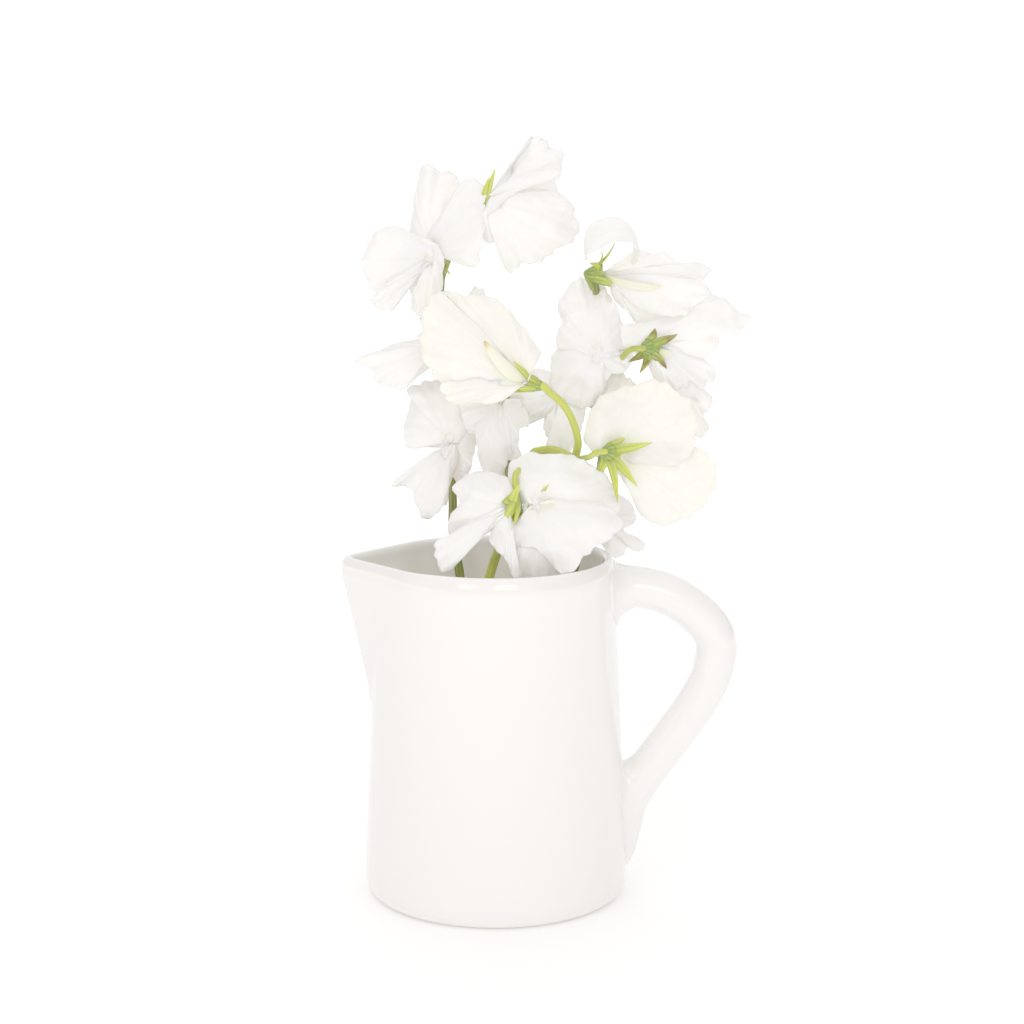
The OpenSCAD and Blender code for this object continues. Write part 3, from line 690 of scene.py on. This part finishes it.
            dict(line=[(1, 2), (6, -0.5), (9, -3.7), (12, -4.7), (15, -7), (14, -9.3), (11, -9.6), (9.5, -8),
                (7, -11.2), (4.5, -12), (1, -8.5), (-2, -4)], slope=(-0.05, 0), ruffle=0.7),
            dict(line=[(0, 2), (5, 5), (9, 1), (8, -4), (2, -4)], slope=(0.5, 0.3))]),
}

petalGap = 3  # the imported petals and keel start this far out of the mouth
leanBack = math.radians(10)
frontWay = np.array([[1, 0, 0], [0, math.sin(leanBack), math.cos(leanBack)],
                     [0, math.cos(leanBack), -math.sin(leanBack)]])  # right, up and back

for name, flower in flowers.items():
    tip = np.array(flower["keel"], float)
    low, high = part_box(name + "_keel")
    flower["mouth"] = np.array((low + high) / 2) / mm - (tip + petalGap * unit(tip)) / 2
    flower["heart"] = flower["mouth"] - flower["front"] * frontWay[2]


# --- petal materials ---

surfaceOut = {"Color": "Color", "Roughness": "Float", "Height": "Float"}
brown = {"petal": (0.62, 0.36, 0.1, 1), "green": (0.16, 0.06, 0.015, 1)}


def makePetalGroup():
    # veins that fan out from the throat, a tint near the throat and a thin paler rim
    tree, given, out = newGroup("petalSurface", {
        "Petal": (0.9, 0.9, 0.9, 1), "Rim": (0.9, 0.9, 0.9, 1), "Throat": (0.8, 0.8, 0.5, 1),
        "Vein": (0.8, 0.78, 0.7, 1), "Throat Reach": 0.4, "Vein Count": 22.0, "Vein Depth": 0.5}, surfaceOut)
    add, subtract, multiply = sums(tree)
    outward = attribute(tree, "outward")
    shift = multiply(subtract(grain(tree, 160.0, 2.0), 0.5), 0.09)
    turns = multiply(add(attribute(tree, "across"), shift), given["Vein Count"])
    coarse, fine = (calc(tree, "ABSOLUTE", calc(tree, "SINE", multiply(turns, n * math.pi))) for n in (1, 2))
    fine = calc(tree, "MAXIMUM", fine, subtract(1.15, outward))
    ridge = calc(tree, "POWER", subtract(1.0, coarse), 3.0)
    ridge = add(ridge, multiply(calc(tree, "POWER", subtract(1.0, fine, True), 3.0), 0.6))
    ridge = multiply(ridge, multiply(outward, 2.2, True))
    cloud = grain(tree, 90.0, 3.0)
    reach = calc(tree, "DIVIDE", outward, given["Throat Reach"])
    nearThroat = calc(tree, "POWER", subtract(1.0, reach, True), 1.6)
    nearThroat = multiply(nearThroat, add(cloud, 0.4), True)
    nearRim = smoothRange(tree, add(outward, multiply(shift, 1.5)), 0.72, 1.0)
    color = mixColor(tree, nearRim, given["Petal"], given["Rim"])
    color = mixColor(tree, nearThroat, color, given["Throat"])
    color = mixColor(tree, multiply(ridge, given["Vein Depth"], True), color, given["Vein"])
    link(tree, mixColor(tree, attribute(tree, "stain"), color, brown["petal"]), out["Color"])
    link(tree, add(multiply(cloud, 0.2), 0.42), out["Roughness"])
    cells = addNode(tree, "ShaderNodeTexVoronoi", {
        "Vector": addNode(tree, "ShaderNodeTexCoord").outputs["Object"], "Scale": 2200.0}).outputs[0]
    height = add(multiply(ridge, 0.6), multiply(cells, 0.25))
    link(tree, add(height, multiply(cloud, 0.5)), out["Height"])
    return tree


petalLook = {"IOR": 1.38, "Specular IOR Level": 0.25, "Subsurface Weight": 0.5, "Subsurface Scale": 0.0008,
             "Subsurface Radius": (1.0, 0.95, 0.85), "Sheen Weight": 0.12, "Sheen Roughness": 0.4}
petalColors = {
    "whitePetal": {"Petal": (0.95, 0.912, 0.865, 1), "Rim": (0.935, 0.9, 0.86, 1),
                   "Throat": (0.82, 0.79, 0.52, 1), "Vein": (0.87, 0.82, 0.75, 1),
                   "Throat Reach": 0.3, "Vein Count": 19.0, "Vein Depth": 0.16},
    "creamPetal": {"Petal": (0.93, 0.892, 0.808, 1), "Rim": (0.93, 0.885, 0.775, 1),
                   "Throat": (0.8, 0.79, 0.42, 1), "Vein": (0.86, 0.82, 0.68, 1),
                   "Throat Reach": 0.45, "Vein Count": 23.0, "Vein Depth": 0.25},
    "creamKeel": {"Petal": (0.9, 0.87, 0.68, 1), "Rim": (0.88, 0.84, 0.55, 1),
                  "Throat": (0.62, 0.7, 0.22, 1), "Vein": (0.8, 0.72, 0.5, 1),
                  "Throat Reach": 0.6, "Vein Count": 13.0, "Vein Depth": 0.4},
}
petalSurface = makePetalGroup()
whitePetal, creamPetal, creamKeel = (
    groupMaterial(name, petalLook, petalSurface, values, (0.25, 0.0002))
    for name, values in petalColors.items())


# --- green materials ---

def makeGreenGroup():
    # lengthwise ribs and soft mottling between a dark and a light green
    tree, given, out = newGroup("greenSkin", {
        "Dark": (0.1, 0.2, 0.02, 1), "Light": (0.4, 0.5, 0.05, 1), "Ribs": 8.0, "Rib Shade": 0.4,
        "Blend": 0.5}, surfaceOut)
    add, subtract, multiply = sums(tree)
    mottle = grain(tree, 260.0, 4.0)
    rib = calc(tree, "SINE", multiply(multiply(attribute(tree, "around"), given["Ribs"]), 2 * math.pi))
    rib = add(multiply(rib, 0.5), 0.5)
    pale = multiply(attribute(tree, "along"), given["Blend"])
    mask = subtract(add(pale, multiply(mottle, 0.5)), multiply(rib, given["Rib Shade"]), True)
    color = mixColor(tree, mask, given["Dark"], given["Light"])
    dry = multiply(attribute(tree, "dry"), multiply(subtract(mottle, 0.3), 4.0, True))
    link(tree, mixColor(tree, dry, color, brown["green"]), out["Color"])
    link(tree, add(multiply(mottle, 0.2), 0.32), out["Roughness"])
    link(tree, add(rib, multiply(mottle, 0.7)), out["Height"])
    return tree


greenLook = {"IOR": 1.42, "Subsurface Weight": 0.2, "Subsurface Scale": 0.0015,
             "Subsurface Radius": (0.6, 1.0, 0.2)}
greenColors = {
    "greenStem": {"Dark": (0.045, 0.07, 0.008, 1), "Light": (0.5, 0.55, 0.06, 1), "Ribs": 7.0,
                  "Rib Shade": 0.2, "Blend": 1.0},
    "greenCalyx": {"Dark": (0.1, 0.2, 0.03, 1), "Light": (0.6, 0.66, 0.06, 1), "Ribs": 10.0,
                   "Rib Shade": 0.3, "Blend": 1.1},
}
greenSkin = makeGreenGroup()
greenStem, greenCalyx = (
    groupMaterial(name, greenLook, greenSkin, values, (0.4, 0.00015))
    for name, values in greenColors.items())
print("materials ready")


# --- petals ---

petalGrid = {"columns": 72, "rings": 30, "edge": 0.965, "thick": 0.28, "inCup": 2.0, "claw": 0.16,
             "deep": 1.7}
drawnStyle = dict(ruffle=1.5, waves=5, crease=0.3, bend=2.5, curl=1.5, dome=2.8, crumple=1.3)


def curledSheet(mouth, lobe, seed):
    # a lobe that curls over, whose rings run from its base to its edge and whose columns run across it
    rng = random.Random(seed)
    base, tip = mouth + np.array(lobe["start"], float), mouth + np.array(lobe["tip"], float)
    u = unit(tip - base)
    face = np.array(lobe["face"], float)
    n = unit(face - np.dot(face, u) * u)
    r = np.cross(u, n)
    turn, curl, half = math.radians(lobe["turn"]), math.radians(lobe["curl"]), lobe["half"]
    long = np.linalg.norm(tip - base) * (turn / 2) / math.sin(turn / 2)
    t = np.linspace(-1, 1, petalGrid["columns"] + 1) * petalGrid["edge"]
    rho = np.linspace(0, 1, petalGrid["rings"] + 1)[1:, None] ** 0.9
    phases = [rng.uniform(0, 2 * math.pi) for _ in range(8)]
    # outline, with its gentle lobes
    lobes = 1 + 0.035 * np.sin(t * 9 + phases[0]) + 0.02 * np.sin(t * 21 + phases[1])
    x = half * np.sin(math.pi * t) * lobes * rho
    y = long * (1 + np.cos(math.pi * t)) / 2 * (0.5 + 0.5 * lobes) * rho
    # height of the ruffle, the middle crease and the crumple over the even sheet
    waves, ruffle, crease = lobe["waves"], lobe["ruffle"], lobe["crease"]
    fringe = np.maximum(0, 1 - (np.abs(t) / 0.97) ** 6)
    swell = 0.62 * sineOf(t, waves, phases[2]) + 0.38 * sineOf(t, 1.7 * waves, phases[3])
    up = ruffle * swell * rho ** 2.6 * fringe
    up = up + 0.35 * ruffle * sineOf(t, 3.3 * waves, phases[4]) * rho ** 7 * fringe
    up = up - crease * np.exp(-(x / 1.6) ** 2) * np.sin(math.pi * rho ** 0.8) ** 0.7
    up = up + 0.8 * crease * np.exp(-((np.abs(x) - half * 0.45) / (half * 0.3)) ** 2) * rho * (1 - rho)
    tilt = turn / 2 - turn * y / long
    bow = curl * x / half
    faceWay = np.cos(tilt)[..., None] * n - np.sin(tilt)[..., None] * u
    outWay = np.cos(bow)[..., None] * faceWay + np.sin(bow)[..., None] * r
    ahead = (math.sin(turn / 2) - np.sin(tilt))[..., None] * u
    ahead = ahead + (np.cos(tilt) - math.cos(turn / 2))[..., None] * n
    sheet = base + long / turn * ahead + (half / curl * np.sin(bow))[..., None] * r
    sheet = sheet - (half / curl * (1 - np.cos(bow)))[..., None] * faceWay
    offset = Vector((rng.uniform(0, 50), rng.uniform(0, 50), rng.uniform(0, 50)))
    for i, k in np.ndindex(x.shape):
        spot = Vector(sheet[i, k])
        bend = noise.noise(spot * 0.11 + offset) * 1.6 + noise.noise(spot * 0.3 + offset) * 0.7
        up[i, k] += lobe["crumple"] * bend * rho[i, 0]
    return base, sheet + up[..., None] * outWay, t * 0.5 + 0.5 + 0 * x, rho + 0 * x


def drawnSheet(flower, petal, seed):
    # a petal whose edge is drawn facing the front: rings shrink to the throat, columns run along the edge
    style = {**drawnStyle, **petal}
    rng = random.Random(seed)
    columns, rings = petalGrid["columns"], petalGrid["rings"]
    edge = smoothLine([(*spot, 0) for spot in petal["line"]], 10)[:, :2]
    steps = np.concatenate([[0], np.cumsum(np.linalg.norm(np.diff(edge, axis=0), axis=1))])
    even = np.linspace(0, steps[-1], columns + 1)
    edge = np.stack([np.interp(even, steps, edge[:, 0]), np.interp(even, steps, edge[:, 1])], axis=1)
    t = np.linspace(-1, 1, columns + 1)
    a = np.abs(t)
    phases = [rng.uniform(0, 2 * math.pi) for _ in range(8)]
    nibble = sum(size * np.sin(t * turns + phases[i])
                 for i, (size, turns) in enumerate(((0.012, 37), (0.01, 61), (0.012, 17))))
    edge = edge * (1 + nibble * (1 - a ** 8))[:, None]
    rho = np.linspace(0, 1, rings + 1)[1:, None] ** 0.85
    reach = np.linalg.norm(edge, axis=1)
    x, z = edge[:, 0] * rho, edge[:, 1] * rho
    slopeX, slopeZ = petal["slope"]
    # the sheet's own height over its plane
    fringe = 1 - 0.6 * a ** 6
    waves, hood = style["waves"], style.get("hood", 0)
    swell = 0.6 * sineOf(t, waves, phases[3]) + 0.4 * sineOf(t, 1.8 * waves, phases[4])
    far = reach / reach.max()
    up = style["ruffle"] * swell * rho ** 2.5 * fringe * far
    up = up + 0.3 * style["ruffle"] * sineOf(t, 3.7 * waves, phases[5]) * rho ** 7 * fringe
    up = up - petalGrid["deep"] * (style["bend"] * (rho * far) ** 2.2 + style["curl"] * a ** 2 * rho ** 1.5)
    up = up - style["crease"] * np.exp(-(t / 0.07) ** 2) * np.sin(math.pi * rho) ** 0.7
    if not hood:
        up = up + style["dome"] * np.sin(math.pi * rho ** 0.8)
    normal = unit(-frontWay[2] + slopeX * frontWay[0] + slopeZ * frontWay[1])
    offset = Vector((rng.uniform(0, 50), rng.uniform(0, 50), rng.uniform(0, 50)))
    for i, k in np.ndindex(x.shape):
        spot = Vector((x[i, k], 0, z[i, k]))
        fold = 0.35 - abs(noise.noise(spot * 0.14 + offset * 2))
        bend = 2.4 * noise.noise(spot * 0.09 + offset) + 2.2 * fold + 0.45 * noise.noise(spot * 0.42 + offset)
        up[i, k] += style["crumple"] * bend * rho[i, 0]
    sheet = flower["heart"] + up[..., None] * normal
    for part, way in zip((x, z, slopeX * x + slopeZ * z), frontWay):
        sheet = sheet + part[..., None] * way
    across = t * 0.5 + 0.5 + 0 * x
    if hood:
        # a petal that closes over the throat from the front
        forward = hood * frontWay[2]
        return flower["heart"] - forward, sheet - forward, across, rho * 0.5 + 0.5 + 0 * x
    # the claw goes down into the calyx
    throat = flower["mouth"] - petalGrid["inCup"] * unit(flower["way"])
    claw = 1 - smoothstep(0.0, petalGrid["claw"], rho) + 0 * x
    return throat, sheet + claw[..., None] * (throat - flower["heart"]), across, rho + 0 * x


def stainOf(across, outward, marks):
    # how strongly each spot is browned by the marks: (across, outward, size, strength)
    amount = np.zeros_like(across)
    for u, v, size, strength in marks:
        away = (across - u) ** 2 + (outward - v) ** 2
        amount = np.maximum(amount, strength * np.exp(-away / size ** 2))
    return amount


def makePetals(name, node, petals, material, slotName):
    flower = flowers[name]
    points, faces, across, outward, stain = [], [], [], [], []
    for number, petal in enumerate(petals):
        seed = node + str(number)
        if "line" in petal:
            base, sheet, u, v = drawnSheet(flower, petal, seed)
        else:
            base, sheet, u, v = curledSheet(flower["mouth"], petal, seed)
        start = len(points)
        rings, cols = u.shape
        points += [base, *sheet.reshape(-1, 3)]
        faces += gridFaces(rings, cols, start=start + 1)
        faces += [(start, start + 2 + k, start + 1 + k) for k in range(cols - 1)]
        across += [0.5, *u.ravel()]
        outward += [v.min() if v.min() > 0.5 else 0.0, *v.ravel()]
        stain += [0.0, *stainOf(u, v, petal.get("marks", ())).ravel()]
    piece = meshPiece(pieceName(node), points, faces, material, petalGrid["thick"], across=across,
                      outward=outward, stain=stain)
    place(piece, slotName, node)


keelShape = {"stations": 30, "columns": 25, "inCup": 1.0, "thinnest": (0.35, 0.25), "fullest": (2.5, 1.35),
             "lift": 0.12, "wrap": (-200, 220), "brownFrom": 0.86}


def makeKeel(name):
    # the folded boat: two cheeks that meet along the lower edge, opening a little on top
    flower, shape = flowers[name], keelShape
    tip = np.array(flower.get("boat", flower["keel"]), float)
    u = unit(tip)
    start = flower["mouth"] - shape["inCup"] * unit(flower["way"])
    length = flower["mouth"] + tip - start
    side = sideways(u)
    up = np.cross(side, u)
    points, across, outward = [], [], []
    rows, cols = shape["stations"], shape["columns"]
    for s in np.linspace(0, 1, rows):
        belly = math.sin(math.pi * s ** 0.8) ** 0.75
        deep, wide = (thin + full * belly for thin, full in zip(shape["thinnest"], shape["fullest"]))
        middle = start + s * length + up * (1.6 * s * s - 0.6 * s) * np.linalg.norm(length) * shape["lift"]
        for share in np.linspace(0, 1, cols):
            a = math.radians(shape["wrap"][0] + shape["wrap"][1] * share)
            points.append(middle + wide * math.cos(a) * side + deep * math.sin(a) * up)
            across.append(share)
            outward.append(s)
    stain = smoothstep(shape["brownFrom"], 1.0, np.array(outward)) * flower.get("boatEnd", 0)
    piece = meshPiece(pieceName(name + "_keel"), points, gridFaces(rows, cols), creamKeel, petalGrid["thick"],
                      across=across, outward=outward, stain=stain)
    place(piece, "cream_keel", name + "_keel")


for name, flower in flowers.items():
    material = whitePetal if flower["color"] == "white" else creamPetal
    makePetals(name, name + "_standard", flower["standard"], material, flower["color"] + "_petal")
    makePetals(name, name + "_wings", flower["wings"], material, flower["color"] + "_petal")
    makeKeel(name)
print("petals ready")


# --- stems and stalks, swept along their lines ---

def makeSweepTree():
    # a ribbed round profile swept along the curve, with its place along and around kept for the skin
    tree = bpy.data.node_groups.new("ribbedSweep", "GeometryNodeTree")
    for name, kind in (("Geometry", "Geometry"), ("Sides", "Int"), ("Ribs", "Int"), ("Rib Height", "Float"),
                       ("Skin", "Material")):
        tree.interface.new_socket(name, in_out="INPUT", socket_type="NodeSocket" + kind)
    tree.interface.new_socket("Geometry", in_out="OUTPUT", socket_type="NodeSocketGeometry")
    given = addNode(tree, "NodeGroupInput").outputs

    def step(kind, values=None, **settings):
        return addNode(tree, "GeometryNode" + kind, values, **settings).outputs

    def keep(geometry, name, value):
        values = {"Geometry": geometry, "Name": name, "Value": value}
        return step("StoreNamedAttribute", values, data_type="FLOAT", domain="POINT")["Geometry"]

    turn = step("SplineParameter")["Factor"]
    circle = step("CurvePrimitiveCircle", {"Radius": 1.0, "Resolution": given["Sides"]})["Curve"]
    wave = calc(tree, "MULTIPLY", turn, calc(tree, "MULTIPLY", given["Ribs"], 2 * math.pi))
    wave = calc(tree, "COSINE", wave)
    swell = calc(tree, "ADD", calc(tree, "MULTIPLY", wave, given["Rib Height"]), 1.0)
    ribbed = addNode(tree, "ShaderNodeVectorMath", {0: step("InputPosition")[0], "Scale": swell},
                     operation="SCALE").outputs[0]
    profile = step("SetPosition", {"Geometry": keep(circle, "around", turn), "Position": ribbed})["Geometry"]
    line = keep(given["Geometry"], "along", step("SplineParameter")["Factor"])
    sweep = step("CurveToMesh", {"Curve": line, "Profile Curve": profile, "Scale": step("InputRadius")[0],
                                 "Fill Caps": True})["Mesh"]
    real = step("RealizeInstances", {"Geometry": step("SetShadeSmooth", {0: sweep})[0]})["Geometry"]
    skin = step("SetMaterial", {"Geometry": real, "Material": given["Skin"]})["Geometry"]
    addNode(tree, "NodeGroupOutput", {"Geometry": skin})
    return tree


ribbedSweep = makeSweepTree()


def sweepMesh(name, line, radii, inputs, fresh):
    # the plain mesh of a stalk along a line, from dark (0) to light (1) green, a little darker towards its
    # start
    curve = bpy.data.curves.new(name + "Path", "CURVE")
    curve.dimensions = "3D"
    spline = curve.splines.new("POLY")
    spline.points.add(len(line) - 1)
    for point, spot, r in zip(spline.points, line, radii):
        point.co = (*(np.asarray(spot) * mm), 1)
        point.radius = r * mm
    carrier = linkPiece(name + "Path", curve)
    modifier = carrier.modifiers.new("sweep", "NODES")
    modifier.node_group = ribbedSweep
    for item in ribbedSweep.interface.items_tree:
        if item.in_out == "INPUT" and item.name in inputs:
            modifier[item.identifier] = inputs[item.name]
    solid = plainMesh(carrier)
    bpy.data.objects.remove(carrier)
    solid.name = name
    shade = np.zeros(len(solid.vertices), np.float32)
    solid.attributes["along"].data.foreach_get("value", shade)
    solid.attributes["along"].data.foreach_set("value", fresh * (0.85 + 0.15 * shade))
    return solid


stemLightness = {"stem_left": 0.12, "stem_right": 0.12, "stem_front": 0.7, "stem_low": 0.12}
stemLook = {"thick": 3.2, "taper": 0.2, "wave": 0.03, "steps": 10, "stalk": 2.0}
stemSweep = {"Sides": 30, "Ribs": 5, "Rib Height": 0.06, "Skin": greenStem}
stalkSweep = {"Sides": 20, "Ribs": 3, "Rib Height": 0.05, "Skin": greenStem}
calyxShape = {"radius": 3.1, "cup": 6, "sepal": 8, "thick": 0.35, "bellGrid": (14, 40), "sepalGrid": (16, 7),
              "sepalHalf": 2.0, "keeled": 0.28, "pleats": 10, "pleat": 0.05}


def makeStem(name):
    line = smoothLine(stems[name], stemLook["steps"])
    share = np.linspace(0, 1, len(line))
    radii = stemLook["thick"] / 2 * (1 - stemLook["taper"] * share)
    radii *= 1 + stemLook["wave"] * np.sin(share * 31)
    solid = sweepMesh(name, line, radii, stemSweep, stemLightness[name])
    place(linkPiece(pieceName(name), solid), "green_stem", name)


def calyxSheets(flower, seed):
    # a bell and five pointed sepals that spring from it; each is (points, columns, along, around, closed)
    rng = random.Random(seed)
    c = calyxShape
    green, size = flower.get("green", 0.85), flower.get("bell", 1)
    mouth, way = flower["mouth"], unit(flower["way"])
    back = mouth - c["cup"] * way
    side = sideways(way)
    other = np.cross(way, side)
    wide = c["radius"] * size

    def radialAt(turn):
        return math.cos(turn) * side + math.sin(turn) * other

    def bellRadius(s):
        return wide * (0.34 + 0.66 * math.sin(math.pi / 2 * min(1, s * 1.05)) ** 0.8)

    tips = [mouth + np.array((x, 0, z), float) + y * frontWay[2] for x, z, y in flower.get("sepals", ())]
    turns = [math.atan2(np.dot(tip - mouth, other), np.dot(tip - mouth, side)) for tip in tips]
    while len(tips) < 5:
        # the sepals that nothing fixes go in the widest gaps
        ordered = sorted(turns) or [0.0]
        gap, begin = max(((ordered[(i + 1) % len(ordered)] - t) % (2 * math.pi) or 2 * math.pi, t)
                         for i, t in enumerate(ordered))
        turn = begin + gap / 2 + rng.uniform(-0.15, 0.15)
        long = c["sepal"] * size * rng.uniform(0.5, 0.8)
        tips.append(mouth + way * long * 0.55 + radialAt(turn) * (wide + long * 0.45))
        turns.append(math.atan2(math.sin(turn), math.cos(turn)))
    rows, columns = c["bellGrid"]
    points, along, around = [], [], []
    for s in np.linspace(0, 1, rows):
        for k in range(columns):
            angle = 2 * math.pi * k / columns
            pleat = 1 + c["pleat"] * math.cos(c["pleats"] * angle) * s
            points.append(back + s * c["cup"] * 0.92 * way + bellRadius(s) * pleat * radialAt(angle))
            along.append(0.5 * s * green)
            around.append(k / columns)
    sheets = [(points, columns, along, around, True)]
    rows, columns = c["sepalGrid"]
    for tip, turn in zip(tips, turns):
        radial = radialAt(turn)
        low = back + 0.45 * c["cup"] * way + (bellRadius(0.45) + 0.05) * radial
        knee = back + 1.05 * c["cup"] * way + (wide + 0.5) * radial
        flat = unit(np.cross(radial, way))
        points, along, around = [], [], []
        for s in np.linspace(0, 1, rows):
            middle = (1 - s) ** 2 * low + 2 * s * (1 - s) * knee + s * s * tip
            ahead = unit(2 * (1 - s) * (knee - low) + 2 * s * (tip - knee))
            across = unit(flat - np.dot(flat, ahead) * ahead)
            rise = np.cross(across, ahead)
            rise = rise if np.dot(rise, radial) > 0 else -rise
            half = size * c["sepalHalf"] * (0.75 + 0.5 * s) * max(0.0, 1 - s ** 1.7) ** 0.9 + 0.05
            for q in np.linspace(-1, 1, columns):
                points.append(middle + q * half * across + c["keeled"] * half * (1 - abs(q)) * rise)
                along.append((0.3 + 0.7 * s) * green)
                around.append(0.1 * q)
        sheets.append((points, columns, along, around, False))
    return sheets, back


def stalkMesh(name, flower, back):
    line = [np.array(p, float) for p in flower["stalk"]] + [back, back + 1.6 * unit(flower["way"])]
    line = smoothLine(line, stemLook["steps"])
    share = np.linspace(0, 1, len(line))
    flare = 1 + 0.25 * smoothstep(0.75, 1, share) + 0.12 * (1 - smoothstep(0, 0.2, share))
    radii = stemLook["stalk"] / 2 * flower.get("thick", 1) * flare
    return sweepMesh(name + "Stalk", line, radii, stalkSweep, flower.get("fresh", 0.3))


def makeCalyces(name):
    points, faces, along, around, dry = [], [], [], [], []
    stalks = bmesh.new()
    for flowerName, flower in flowers.items():
        if flower["stem"] != name:
            continue
        sheets, back = calyxSheets(flower, flowerName)
        for sheet, columns, s, a, closed in sheets:
            dry += [flower.get("dry", 0.15) * smoothstep(0.35, 0.9, v / flower.get("green", 0.85)) for v in s]
            faces += gridFaces(len(sheet) // columns, columns, start=len(points), wrap=closed)
            points += sheet
            along += s
            around += a
        solid = stalkMesh(flowerName, flower, back)
        stalks.from_mesh(solid)
        bpy.data.meshes.remove(solid)
    bells = meshPiece("bells", points, faces, greenCalyx, calyxShape["thick"], along=along, dry=dry,
                      around=around)
    solid = plainMesh(bells)
    bpy.data.objects.remove(bells)
    place(linkPiece(pieceName(name + "_calyces"), solid), "green_calyx", name + "_calyces")
    joined = bpy.data.meshes.new(pieceName(name + "_stalks"))
    stalks.to_mesh(joined)
    stalks.free()
    joined.materials.append(greenStem)
    place(linkPiece(joined.name, joined), "green_stem")


for name in stems:
    makeStem(name)
    makeCalyces(name)
print("stems and calyces ready")
